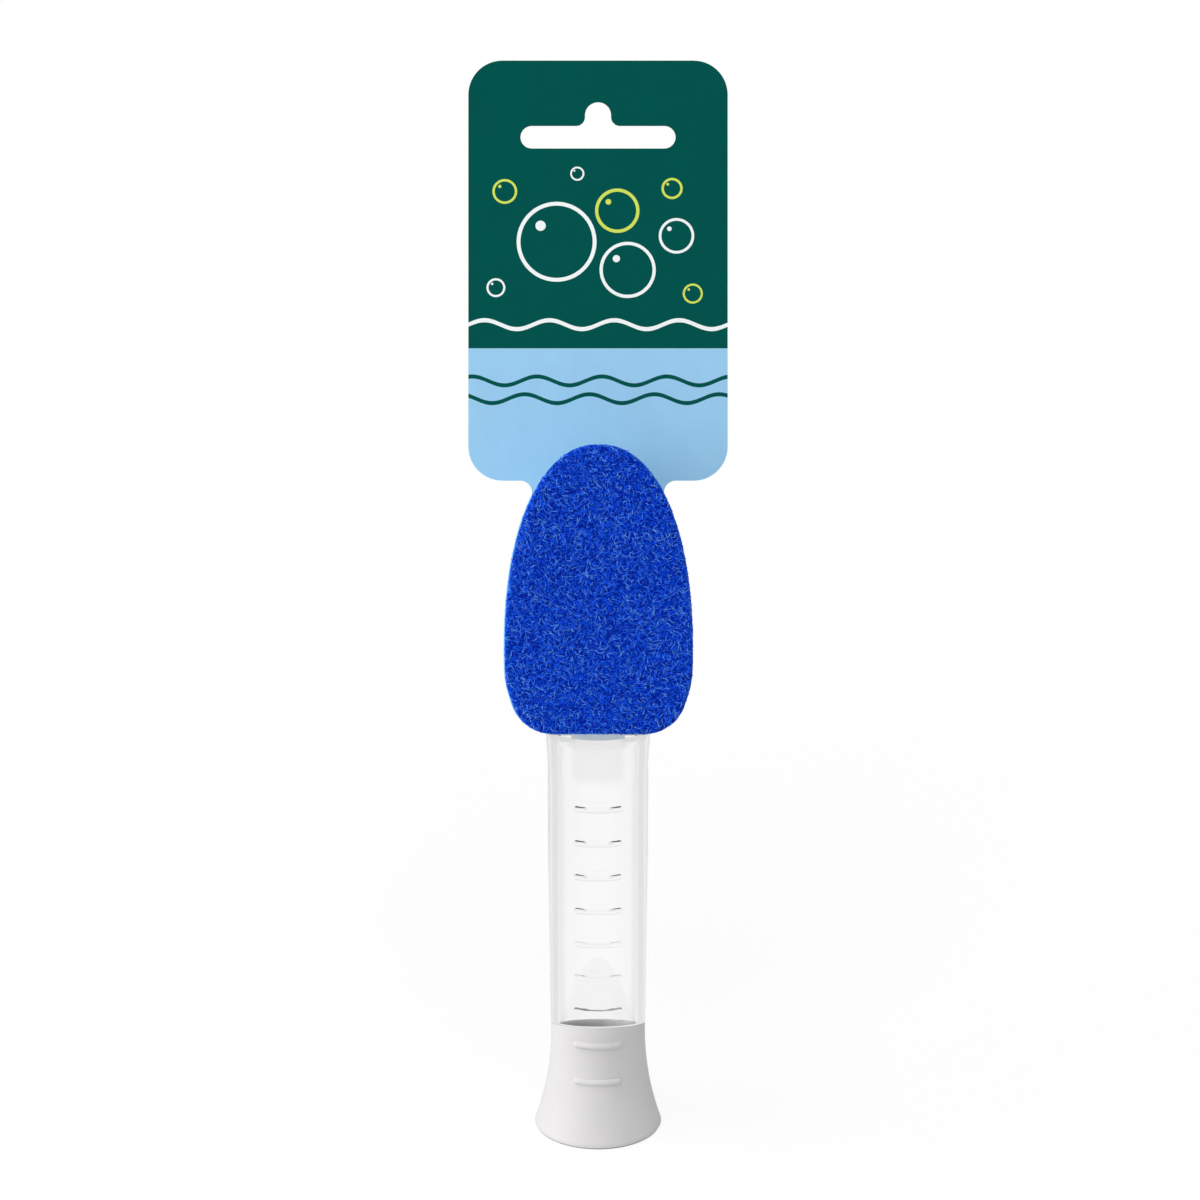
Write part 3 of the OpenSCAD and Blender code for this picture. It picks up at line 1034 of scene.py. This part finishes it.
@dataclass
class RoundedSlab:
    """A rounded slab of the head, inside an outline, from low to high above the shoe's face."""

    outline: HeadOutline = HeadOutline()
    low_w: float = 0.0
    high_w: float = 1.0
    edge_r: float = 0.5
    inset: float = 0.0
    side_rows: int = 8
    face_rings: int = 14
    middle: Point = (0.0, 44.0)

    def rings(self) -> list[Array]:
        """Lays rings from the middle of the slab's back to the middle of its front.

        Returns:
            The rings, given across, up and forward.
        """
        shares = list(np.linspace(0.06, 0.97, self.face_rings))
        turns = list(np.radians([0, 30, 60, 90]))
        low, high, r = self.low_w, self.high_w, self.edge_r
        sections = [(r, low, share) for share in shares]
        sections += [(r * (1 - math.sin(t)), low + r * (1 - math.cos(t)), 1.0) for t in turns]
        sections += [(0.0, w, 1.0) for w in np.linspace(low + r, high - r, self.side_rows)[1:-1]]
        sections += [(r * (1 - math.sin(t)), high - r * (1 - math.cos(t)), 1.0) for t in turns[::-1]]
        sections += [(r, high, share) for share in shares[::-1]]
        rings = []
        for drawn_in, w, share in sections:
            curve = self.outline.curve(self.inset + drawn_in)
            curve = np.array(self.middle) + (curve - self.middle) * share
            rings.append(np.column_stack([curve, np.full(len(curve), w)]))
        return rings


@dataclass
class SpongeBlock(RoundedSlab):
    """The foam block between the carrier and the pad, with open pores on its sides."""

    outline: HeadOutline = HeadOutline(points=460)
    low_w: float = 3.32
    high_w: float = 15.45
    edge_r: float = 0.7
    inset: float = 0.35
    side_rows: int = 24
    face_rings: int = 20
    pore: float = 2.6
    pore_depth: float = 0.75
    seed: int = 5

    def build(self) -> Piece:
        """Builds the block, crowns its sides out to the outline and opens its pores.

        Returns:
            The finished object, with each point's depth in a pore as the attribute "pit".
        """
        noise.seed_set(self.seed)
        mid, half = (self.low_w + self.high_w) / 2, (self.high_w - self.low_w) / 2
        pits: list[float] = []
        rings = self.rings()
        for ring in rings:
            along = np.roll(ring, -1, axis=0) - np.roll(ring, 1, axis=0)
            outward = np.stack([along[:, 1], -along[:, 0]], axis=1)
            outward /= np.maximum(np.linalg.norm(outward, axis=1), 1e-6)[:, None]
            share = np.clip(1 - ((ring[:, 2] - mid) / half) ** 2, 0, 1)
            side = np.clip((share - 0.02) / 0.2, 0, 1)
            depth = self.pits(ring)
            pits += depth.tolist()
            push = self.inset * share - self.pore_depth * depth * side
            ring[:, :2] += outward * push[:, None]
            sink = self.pore_depth * 0.7 * depth * (1 - side)
            ring[:, 2] += np.where(ring[:, 2] < mid, sink, 0.0)
        obj = skin_through("sponge_block", [on_head(*ring.T) for ring in rings], looped=False)
        poles = [0.0, 0.0]
        obj.data.attributes.new("pit", "FLOAT", "POINT").data.foreach_set("value", pits + poles)
        return obj

    def pits(self, ring: Array) -> Array:
        """Finds how deep each point lies in a pore.

        Args:
            ring: The points.

        Returns:
            Depths from 0 to 1.
        """
        out = np.empty(len(ring))
        for i, (x, u, w) in enumerate(ring):
            # Warped cells, whose pores differ in size from place to place.
            place = Vector((x, u, w)) / self.pore
            warp = noise.noise_vector(place * 0.7) * 0.35
            distances, _ = noise.voronoi(place + warp)
            size = 0.34 + 0.2 * noise.noise(place * 0.45)
            out[i] = max(0.0, 1 - distances[0] / max(size, 0.12)) ** 0.6
        return out

    def dress(self) -> Piece:
        """Builds the sponge, gives it its finish and puts it on its body.

        Returns:
            The finished object.
        """
        obj = self.build()
        obj.data.materials.append(SpongeFoam().build())
        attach(obj, Body.REFILL.value)
        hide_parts("sponge")
        return obj


class TreeMaker(Graph):
    """A geometry node group under construction."""

    def __init__(self, name: str, inputs: dict[str, tuple[str, float]]) -> None:
        """Starts the group with its named inputs.

        Args:
            name: The group's name.
            inputs: Socket kinds and defaults, by name.
        """
        super().__init__(bpy.data.node_groups.new(name, "GeometryNodeTree"))
        face = self.tree.interface
        for way in ("OUTPUT", "INPUT"):
            face.new_socket(name="Geometry", in_out=way, socket_type="NodeSocketGeometry")
        self.identifiers: dict[str, str] = {}
        for label, (kind, value) in inputs.items():
            socket = face.new_socket(name=label, in_out="INPUT", socket_type=kind)
            socket.default_value = value
            self.identifiers[label] = socket.identifier
        self.given = self.add("NodeGroupInput").outputs
        self.end = self.add("NodeGroupOutput")

    def random(self, low: float, high: float, seed: int) -> Socket:
        """Returns a random value for each element, from low to high."""
        inputs = {2: low, 3: high, "Seed": seed}
        return self.add("FunctionNodeRandomValue", inputs, data_type="FLOAT").outputs["Value"]

    def store(self, geometry: Socket, name: str, value: Socket) -> Socket:
        """Returns the geometry with a value kept on its points."""
        inputs = {"Geometry": geometry, "Name": name, "Value": value}
        settings = {"data_type": "FLOAT", "domain": "POINT"}
        return self.add("GeometryNodeStoreNamedAttribute", inputs, **settings).outputs["Geometry"]

    def stored(self, name: str) -> Socket:
        """Returns the value kept under a name."""
        node = self.add("GeometryNodeInputNamedAttribute", {"Name": name}, data_type="FLOAT")
        return node.outputs["Attribute"]

    def move(self, geometry: Socket, direction: Socket, distance: Socket) -> Socket:
        """Returns the geometry moved by a direction times a distance."""
        inputs = {"Geometry": geometry, "Offset": self.vector("SCALE", {0: direction, "Scale": distance})}
        return self.add("GeometryNodeSetPosition", inputs).outputs["Geometry"]


@dataclass
class ScourPad(RoundedSlab):
    """The scouring pad: a firm core under a web of curled fibres."""

    outline: HeadOutline = HeadOutline(points=300)
    low_w: float = 15.5
    high_w: float = 22.1
    edge_r: float = 1.3
    inset: float = 0.45
    shift: float = 0.27
    wave: float = 0.22
    density: float = 5.6
    fibre_length: float = 2.1
    fibre_radius: float = 0.112
    curl: float = 0.8
    curl_scale: float = 520.0
    curl_gain: float = 2.6
    lift: float = 0.32
    seed: int = 11

    def core(self) -> Piece:
        """Builds the firm core that the fibres stand on, with a slightly uneven face.

        Returns:
            The core object.
        """
        placed = []
        for ring in self.rings():
            shake = np.array([noise.noise(Vector((x, u, w)) * 0.45) for x, u, w in ring])
            ring[:, 2] += np.where(ring[:, 2] > self.high_w - 2, self.wave * shake, 0)
            placed.append(on_head(ring[:, 0] + self.shift, ring[:, 1], ring[:, 2]))
        return skin_through("scouring_pad", placed, looped=False)

    def tree(self, material: Material) -> TreeMaker:
        """Makes the group that grows the web on the core.

        Args:
            material: The web's material.

        Returns:
            The group and its input identifiers.
        """
        maker = TreeMaker("fibre_web", {
            "Fibres per Square Metre": ("NodeSocketFloat", self.density * 1e6),
            "Fibre Length": ("NodeSocketFloat", self.fibre_length * MM),
            "Fibre Radius": ("NodeSocketFloat", self.fibre_radius * MM),
            "Curl": ("NodeSocketFloat", self.curl * MM),
            "Lift": ("NodeSocketFloat", self.lift * MM),
            "Seed": ("NodeSocketInt", self.seed),
        })
        add, given, maths, vector = maker.add, maker.given, maker.maths, maker.vector
        core = given["Geometry"]

        # The points, on all but the back, each lifted by a share that is smaller on the sides.
        facing = vector("DOT_PRODUCT", {0: add("GeometryNodeInputNormal").outputs[0], 1: FORWARD}, "Value")
        open_side = add("FunctionNodeCompare", {"A": facing, "B": -0.5}, operation="GREATER_THAN").outputs[0]
        spread = {"Mesh": core, "Selection": open_side, "Seed": given["Seed"]}
        spread["Density"] = given["Fibres per Square Metre"]
        scatter = add("GeometryNodeDistributePointsOnFaces", spread, distribute_method="RANDOM").outputs
        turned = vector("DOT_PRODUCT", {0: scatter["Normal"], 1: FORWARD}, "Value")
        freedom = maker.remap(turned, (0.2, 0.9), (0.3, 1.0))
        away = maths("MULTIPLY", maker.random(-1.4, 1.0, 7), maths("MULTIPLY", freedom, given["Lift"]))
        points = maker.store(scatter["Points"], "strand", maker.random(0.0, 1.0, 5))
        points = maker.move(maker.store(points, "freedom", freedom), scatter["Normal"], away)

        # One arched fibre on each point, turned and scaled at random.
        half = maths("MULTIPLY", given["Fibre Length"], 0.5)
        back, dip, crown = (maths("MULTIPLY", half, share) for share in (-1.0, -0.45, 0.55))
        ends = {"Start": {"X": back, "Z": dip}, "Middle": {"Z": crown}, "End": {"X": half, "Z": dip}}
        places = {label: add("ShaderNodeCombineXYZ", at).outputs[0] for label, at in ends.items()}
        fibre = add("GeometryNodeCurveQuadraticBezier", {"Resolution": 4, **places}).outputs["Curve"]
        free_turn = {0: (-0.35, -0.35, 0.0), 1: (0.35, 0.35, 6.283), "Seed": 9}
        spin = add("FunctionNodeRandomValue", free_turn, data_type="FLOAT_VECTOR").outputs[0]
        turn = add("FunctionNodeEulerToRotation", {0: spin}).outputs[0]
        both = {"Rotation": scatter["Rotation"], "Rotate By": turn}
        rotation = add("FunctionNodeRotateRotation", both, rotation_space="LOCAL").outputs[0]
        size = maker.random(0.55, 1.25, 13)
        planting = {"Points": points, "Instance": fibre, "Rotation": rotation, "Scale": size}
        planted = add("GeometryNodeInstanceOnPoints", planting).outputs["Instances"]
        curves = add("GeometryNodeRealizeInstances", {"Geometry": planted}).outputs["Geometry"]

        # A noise that differs from fibre to fibre curls them.
        phase = maths("MULTIPLY", maker.stored("strand"), 40.0)
        position = add("GeometryNodeInputPosition").outputs[0]
        field = {"Vector": position, "W": phase, "Scale": self.curl_scale, "Detail": 1.0}
        wander = add("ShaderNodeTexNoise", field, noise_dimensions="4D").outputs["Color"]
        centred = vector("SUBTRACT", {0: wander, 1: (0.5, 0.5, 0.5)})
        swing = maths("MULTIPLY", given["Curl"], self.curl_gain)
        strength = maths("MULTIPLY", swing, maker.stored("freedom"))
        curled = maker.move(curves, centred, strength)

        # Tubes round the curves join the core.
        circle = {"Resolution": 3, "Radius": given["Fibre Radius"]}
        profile = add("GeometryNodeCurvePrimitiveCircle", circle).outputs["Curve"]
        sweep = {"Curve": curled, "Profile Curve": profile, "Fill Caps": True}
        tubes = add("GeometryNodeCurveToMesh", sweep).outputs["Mesh"]
        smooth = add("GeometryNodeSetShadeSmooth", {"Geometry": tubes}).outputs["Geometry"]
        joined = add("GeometryNodeJoinGeometry", {0: core})
        maker.tree.links.new(smooth, joined.inputs[0])
        whole = add("GeometryNodeRealizeInstances", {"Geometry": joined.outputs["Geometry"]})
        finish = {"Geometry": whole.outputs["Geometry"], "Material": material}
        dressed = add("GeometryNodeSetMaterial", finish).outputs["Geometry"]
        maker.tree.links.new(dressed, maker.end.inputs["Geometry"])
        return maker

    def dress(self) -> Piece:
        """Builds the pad, grows its web and puts it on its body.

        Returns:
            The finished object.
        """
        obj = self.core()
        material = ScouringWeb().build()
        obj.data.materials.append(material)
        maker = self.tree(material)
        modifier = obj.modifiers.new("web", "NODES")
        modifier.node_group = maker.tree
        modifier[maker.identifiers["Seed"]] = self.seed
        bake_modifier(obj)
        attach(obj, Body.REFILL.value)
        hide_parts("scour_pad")
        return obj


def bake_modifier(obj: Piece) -> None:
    """Swaps an object's mesh for its evaluated one and removes its modifiers.

    Args:
        obj: The piece.
    """
    bpy.context.view_layer.update()
    graph = bpy.context.evaluated_depsgraph_get()
    final = obj.evaluated_get(graph)
    mesh = bpy.data.meshes.new_from_object(final, preserve_all_data_layers=True, depsgraph=graph)
    obj.modifiers.clear()
    obj.data = mesh


def arc(x: float, u: float, r: float, start: float, stop: float, steps: int = 14) -> list[Point]:
    """Returns points of an arc round a centre, with angles in degrees."""
    turns = np.radians(np.linspace(start, stop, steps))
    return [(x + r * math.cos(t), u + r * math.sin(t)) for t in turns]


def inside(outline: Sequence[Point], x: float, y: float) -> bool:
    """Tells whether a place lies inside a flat outline.

    Args:
        outline: The outline's corners.
        x: The place, across.
        y: The place, up.

    Returns:
        True if it does.
    """
    hit = False
    for (x0, y0), (x1, y1) in zip(outline, list(outline[1:]) + [outline[0]]):
        if (y0 > y) != (y1 > y) and x < x0 + (y - y0) * (x1 - x0) / (y1 - y0):
            hit = not hit
    return hit


@dataclass(frozen=True)
class Bubble:
    """One printed soap bubble: a ring with a small glint at its upper left."""

    x: float
    u: float
    radius: float
    ink: Ink
    line: float = 0.9
    glint_off: float = 0.4
    glint_size: float = 0.13

    def circles(self) -> list[tuple[float, float, float]]:
        """Returns the ring's outer and inner edge and the glint, each as a centre and a radius."""
        off = self.radius * self.glint_off
        rings = [(self.x, self.u, r) for r in (self.radius, self.radius - self.line)]
        return [*rings, (self.x - off, self.u + off, self.radius * self.glint_size)]

    def covers(self, x: float, u: float) -> bool:
        """Tells whether the bubble's ink is at a place."""
        outer, inner, glint = (math.hypot(x - cx, u - cu) < r for cx, cu, r in self.circles())
        return (outer and not inner) or glint


@dataclass
class HangCard:
    """The printed card with its hang slot and the forked tab behind the pad."""

    half: float = 43.8
    low_u: float = 85.3
    height: float = 141.9
    corner_r: float = 11.5
    tab_half: float = 22.3
    tab_low_u: float = 28.0
    fillet_r: float = 4.0
    fork_half: float = 12.5
    fork_top_u: float = 49.3
    leg_r: float = 4.0
    front_w: float = -5.3
    thickness: float = 0.6
    split_u: float = 130.0
    slot_half: float = 26.2
    slot_r: float = 3.8
    slot_u: float = 201.3
    notch_r: float = 4.4
    notch_rise: float = 11.8
    notch_fillet: float = 3.0
    wave_points: int = 140
    wave_half: float = 0.7
    wave_size: float = 1.5
    wave_length: float = 21.9
    wave_places: tuple[Point, ...] = ((138.0, 0.0), (119.0, 1.2), (113.0, 2.4))
    bubbles: tuple[Bubble, ...] = (
        Bubble(-14.0, 166.0, 13.5, Ink.WHITE, 1.3),
        Bubble(6.5, 176.5, 7.5, Ink.LIME, 1.1),
        Bubble(10.0, 156.5, 9.5, Ink.WHITE, 1.1),
        Bubble(26.5, 168.0, 6.0, Ink.WHITE, 0.9),
        Bubble(25.0, 184.0, 3.6, Ink.LIME, 0.8),
        Bubble(-31.5, 183.0, 4.2, Ink.LIME, 0.8),
        Bubble(-34.5, 150.5, 3.2, Ink.WHITE, 0.7),
        Bubble(32.0, 148.5, 3.4, Ink.LIME, 0.7),
        Bubble(-7.0, 189.0, 2.4, Ink.WHITE, 0.6),
    )

    def outline(self) -> list[Point]:
        """Draws the card's outer edge.

        Returns:
            Its points, counter-clockwise from the tip of the right leg's inside.
        """
        half, r, tab, fillet, leg, fork = (
            self.half, self.corner_r, self.tab_half, self.fillet_r, self.leg_r, self.fork_half
        )
        right = [
            (fork, self.tab_low_u),
            *arc(tab - leg, self.tab_low_u + leg, leg, -90, 0),
            *arc(tab + fillet, self.low_u - fillet, fillet, 180, 90),
            *arc(half - r, self.low_u + r, r, -90, 0),
            *arc(half - r, self.low_u + self.height - r, r, 0, 90),
        ]
        left = [(-x, u) for x, u in reversed(right)]
        return right + left + arc(0, self.fork_top_u - fork, fork, 180, 0, 28)

    def slot(self) -> list[Point]:
        """Draws the hang slot with its round notch.

        Returns:
            Its points, counter-clockwise.
        """
        run, fillet, notch = self.slot_half - self.slot_r, self.notch_fillet, self.notch_r
        points = [
            *arc(run, 0, self.slot_r, -90, 90),
            *arc(notch + fillet, self.slot_r + fillet, fillet, 270, 180),
            *arc(0, self.notch_rise - notch, notch, 0, 180, 24),
            *arc(-notch - fillet, self.slot_r + fillet, fillet, 0, -90),
            *arc(-run, 0, self.slot_r, 90, 270),
        ]
        return [(x, u + self.slot_u) for x, u in points]

    def wave(self, base: float, phase: float) -> Callable[[float], float]:
        """Returns the height of a wave line at a place across."""
        return lambda x: base + self.wave_size * math.sin(2 * math.pi * x / self.wave_length + phase)

    def ink_at(self, x: float, u: float) -> Ink:
        """Names the ink at a place of the front.

        Args:
            x: Distance across.
            u: Distance up the head.

        Returns:
            The ink.
        """
        for bubble in self.bubbles:
            if bubble.covers(x, u):
                return bubble.ink
        above = u > self.split_u
        if any(abs(u - self.wave(*place)(x)) < self.wave_half for place in self.wave_places):
            return Ink.WHITE if above else Ink.DEEP_GREEN
        return Ink.DEEP_GREEN if above else Ink.SKY_BLUE

    def print_edges(self) -> list[list[Point]]:
        """Draws the lines along which inks meet.

        Returns:
            The lines, each as its points.
        """
        reach = self.half + 1
        lines: list[list[Point]] = [[(-reach, self.split_u), (reach, self.split_u)]]
        for bubble in self.bubbles:
            steps = max(24, int(bubble.radius * 7))
            for circle, count in zip(bubble.circles(), (steps, steps, 16)):
                lines.append(arc(*circle, 0, 360, count))
        for place in self.wave_places:
            line = self.wave(*place)
            for shift in (-self.wave_half, self.wave_half):
                places = np.linspace(-reach, reach, self.wave_points).tolist()
                lines.append([(x, line(x) + shift) for x in places])
        return lines

    def flat_faces(self) -> tuple[list[Vector], list[tuple[tuple[int, ...], Ink]]]:
        """Cuts the card's outline and print into flat faces.

        Returns:
            The flat points, and the corners and the ink of each face that is kept.
        """
        points: list[Vector] = []
        edges: list[tuple[int, int]] = []
        outer, slot = self.outline(), self.slot()
        for line in (outer + outer[:1], slot + slot[:1], *self.print_edges()):
            first, closed = len(points), line[-1] is line[0]
            points += [Vector(p) for p in (line[:-1] if closed else line)]
            edges += [(i, i + 1) for i in range(first, len(points) - 1)]
            if closed:
                edges.append((len(points) - 1, first))
        flat, _, faces, _, _, _ = delaunay_2d_cdt(points, edges, [], 0, 1e-5)
        kept: list[tuple[tuple[int, ...], Ink]] = []
        for face in faces:
            x, u = (sum(flat[i][k] for i in face) / len(face) for k in (0, 1))
            if inside(outer, x, u) and not inside(slot, x, u):
                kept.append((tuple(face), self.ink_at(x, u)))
        return flat, kept

    def build(self) -> Piece:
        """Gives the flat faces their thickness.

        Returns:
            The finished object.
        """
        flat, kept = self.flat_faces()
        bm = bmesh.new()
        front, rear = (
            [bm.verts.new(Vector(on_head(p[0], p[1], w)) * MM) for p in flat]
            for w in (self.front_w, self.front_w - self.thickness)
        )
        sides: dict[tuple[int, int], None] = {}
        for face, ink in kept:
            bm.faces.new([front[i] for i in face]).material_index = ink.value
            bm.faces.new([rear[i] for i in reversed(face)]).material_index = Ink.BOARD.value
            sides.update(dict.fromkeys(zip(face, face[1:] + face[:1])))
        for a, b in sides:
            if (b, a) not in sides:
                bm.faces.new([front[a], rear[a], rear[b], front[b]]).material_index = Ink.BOARD.value
        bmesh.ops.delete(bm, geom=[v for v in bm.verts if not v.link_faces], context="VERTS")
        bmesh.ops.recalc_face_normals(bm, faces=bm.faces)
        mesh = bpy.data.meshes.new("hang_tag")
        bm.to_mesh(mesh)
        bm.free()
        return put("hang_tag", mesh)

    def dress(self) -> Piece:
        """Builds the card, gives each ink its finish and puts it on its body.

        Returns:
            The finished object.
        """
        obj = self.build()
        inks = {
            Ink.DEEP_GREEN: linear(0, 80, 74),
            Ink.SKY_BLUE: linear(153, 202, 235),
            Ink.WHITE: linear(238, 244, 244),
            Ink.LIME: linear(206, 222, 92),
            Ink.BOARD: linear(226, 224, 218),
        }
        for ink in Ink:
            finish = PrintedBoard(f"board_{ink.name.lower()}", inks[ink], 0.6 if ink is Ink.BOARD else 0.4)
            obj.data.materials.append(finish.build())
        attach(obj, Body.CARD.value)
        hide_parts("hang_card")
        return obj


@dataclass(frozen=True)
class Fittings:
    """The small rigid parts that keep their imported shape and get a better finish."""

    def dress(self) -> list[str]:
        """Gives each carried part its finish.

        Returns:
            The parts' names.
        """
        finishes = {
            "head_shoe": SatinPlastic("shoe_plastic", linear(206, 211, 214), 0.38),
            "valve_ring": SatinPlastic("ring_plastic", linear(228, 230, 231), 0.4),
            "refill_carrier": SatinPlastic("carrier_plastic", linear(246, 243, 241), 0.4),
            "base_disc": SatinPlastic("disc_plastic", linear(214, 211, 211), 0.45),
            "soap_valve": SoftRubber("silicone", linear(224, 232, 236), 0.45, 0.3),
            "cap_gasket": SoftRubber("gasket_rubber", linear(226, 228, 229), 0.5),
        }
        for name, finish in finishes.items():
            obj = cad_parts[name]
            obj.data.materials.clear()
            obj.data.materials.append(finish.build())
        return list(finishes)


@dataclass
class Studio:
    """The camera, the lamps, the pale floor and the world."""

    distance: float = 2.1
    target: tuple[float, float, float] = (0.00067, -0.02057, 0.20519)
    lens: float = 189.0
    lamp_target: tuple[float, float, float] = (0.0, 0.0, 0.18)
    floor_radius: float = 9.0
    floor_sides: int = 64
    shadow_reach: Point = (0.15, 0.6)

    def camera(self) -> None:
        """Sets the camera at the photograph's viewing angle."""
        data = bpy.data.cameras.new("view")
        data.lens, data.sensor_width, data.clip_end = self.lens, 36.0, 100.0
        obj = put("view", data)
        obj.location = Vector(self.target) + Vector(FORWARD) * self.distance
        obj.rotation_euler = (math.pi / 2 - TILT, 0, 0)
        bpy.context.scene.camera = obj

    def lamp(self, name: str, place: tuple[float, float, float], size: float, power: float) -> None:
        """Adds a square soft lamp that looks at the object.

        Args:
            name: The lamp's name.
            place: Where it stands, in metres.
            size: Its side.
            power: Its power in watts.
        """
        data = bpy.data.lights.new(name, "AREA")
        data.shape, data.size, data.energy = "SQUARE", size, power
        obj = put(name, data)
        obj.location = place
        obj.rotation_euler = (Vector(self.lamp_target) - Vector(place)).to_track_quat("-Z", "Y").to_euler()
        obj.visible_glossy = obj.visible_transmission = False

    def lamps(self) -> None:
        """Lights the object from the left front, with a weak fill."""
        self.lamp("side", (-1.95, -0.35, 0.75), 1.7, 34)
        self.lamp("front", (-0.1, -0.95, 2.0), 1.3, 19)

    def floor_tone(self, shader: Shader, path: bpy.types.NodeOutputs, away: Socket) -> Socket:
        """Makes the tone that each kind of ray sees on the floor.

        It is white but for grey zones that reflections and rays through clear plastic see, as from grey cards
        set beside and behind the object.

        Args:
            shader: The floor's shader.
            path: The outputs of its Light Path node.
            away: The distance from the object.

        Returns:
            The colour socket.
        """
        place = shader.add("ShaderNodeSeparateXYZ", {0: shader.coords}).outputs
        across, ahead = shader.maths("ABSOLUTE", place["X"]), shader.maths("MULTIPLY", place["Y"], -1.0)
        turn = shader.maths("DIVIDE", shader.maths("ARCTAN2", across, ahead), math.pi)

        def sector(*stops: Point) -> Socket:
            """Returns the floor's tone by direction, from 0 in front to 1 behind."""
            return shader.ramp(turn, *((stop, (tone,) * 3) for stop, tone in stops))

        near = sector((0.16, 1.0), (0.26, 0.62), (0.82, 0.62), (0.91, 1.0))
        distant = sector((0.16, 0.1), (0.26, 0.45), (0.82, 0.45), (0.91, 1.0))
        mirrored = shader.blend(shader.remap(away, (0.315, 0.335)), near, distant)
        walls = ((0.63, 1.0), (0.71, 0.83), (0.82, 0.83), (0.88, 1.0))
        beyond = shader.remap(away, (0.29, 0.325))
        through = shader.blend(beyond, sector(*walls), sector(*walls, (0.93, 1.0), (0.955, 0.9)))
        seen_as = shader.blend(path["Is Glossy Ray"], WHITE, mirrored)
        return shader.blend(path["Is Transmission Ray"], seen_as, through)

    def floor(self) -> Piece:
        """Lays the pale floor, white to the camera and through glass, with the object's shadow on it.

        Returns:
            The floor object.
        """
        shader = Shader("studio_floor")
        path = shader.add("ShaderNodeLightPath").outputs
        away = shader.vector("LENGTH", {0: shader.coords}, "Value")
        matte = shader.add("ShaderNodeBsdfDiffuse", {"Color": (0.86, 0.86, 0.86, 1)}).outputs[0]
        level = shader.remap(away, self.shadow_reach, (1.03, 1.0))
        tone = self.floor_tone(shader, path, away)
        bright = shader.add("ShaderNodeEmission", {"Color": tone, "Strength": level}).outputs[0]
        fade = shader.remap(away, self.shadow_reach, (0.86, 1.0))
        share = shader.maths("MULTIPLY", path["Is Camera Ray"], fade)
        for label in ("Is Glossy Ray", "Is Transmission Ray"):
            share = shader.maths("MAXIMUM", share, path[label])
        mix = shader.add("ShaderNodeMixShader", {0: share, 1: matte, 2: bright}).outputs["Shader"]
        turns = np.linspace(0, 2 * math.pi, self.floor_sides, endpoint=False)
        points = [(math.cos(t) * self.floor_radius, math.sin(t) * self.floor_radius, 0.0) for t in turns]
        mesh = bpy.data.meshes.new("studio_floor")
        mesh.from_pydata(points, [], [tuple(range(self.floor_sides))])
        mesh.materials.append(shader.finish(mix))
        obj = put("studio_floor", mesh)
        return obj

    def world(self) -> None:
        """Makes a world that is white behind the object and soft grey as light and in reflections."""
        world = bpy.data.worlds.new("studio_world")
        bpy.context.scene.world = world
        world.use_nodes = True
        graph = Graph(world.node_tree)
        path = graph.add("ShaderNodeLightPath").outputs
        sharp = graph.maths("MAXIMUM", path["Is Glossy Ray"], path["Is Transmission Ray"])
        strength = graph.maths("MAXIMUM", path["Is Camera Ray"], graph.remap(sharp, (0.0, 1.0), (0.4, 0.8)))
        back = graph.add("ShaderNodeBackground", {"Color": WHITE, "Strength": strength}).outputs["Background"]
        graph.add("ShaderNodeOutputWorld", {"Surface": back})

    def set_up(self) -> None:
        """Makes the whole studio."""
        self.camera()
        self.lamps()
        self.floor()
        self.world()
        bpy.context.scene.view_settings.view_transform = "Standard"


def main() -> None:
    """Builds the studio and every piece, and reports each."""
    logging.basicConfig(level=logging.INFO, format="%(name)s: %(message)s")
    Studio().set_up()
    for maker in (ClearHandle(), FootCap(), SpongeBlock(), ScourPad(), HangCard()):
        piece = maker.dress()
        LOG.info("%s: %d faces", piece.name, len(piece.data.polygons))
    LOG.info("fittings: %s", ", ".join(Fittings().dress()))


if __name__ == "__main__":
    main()
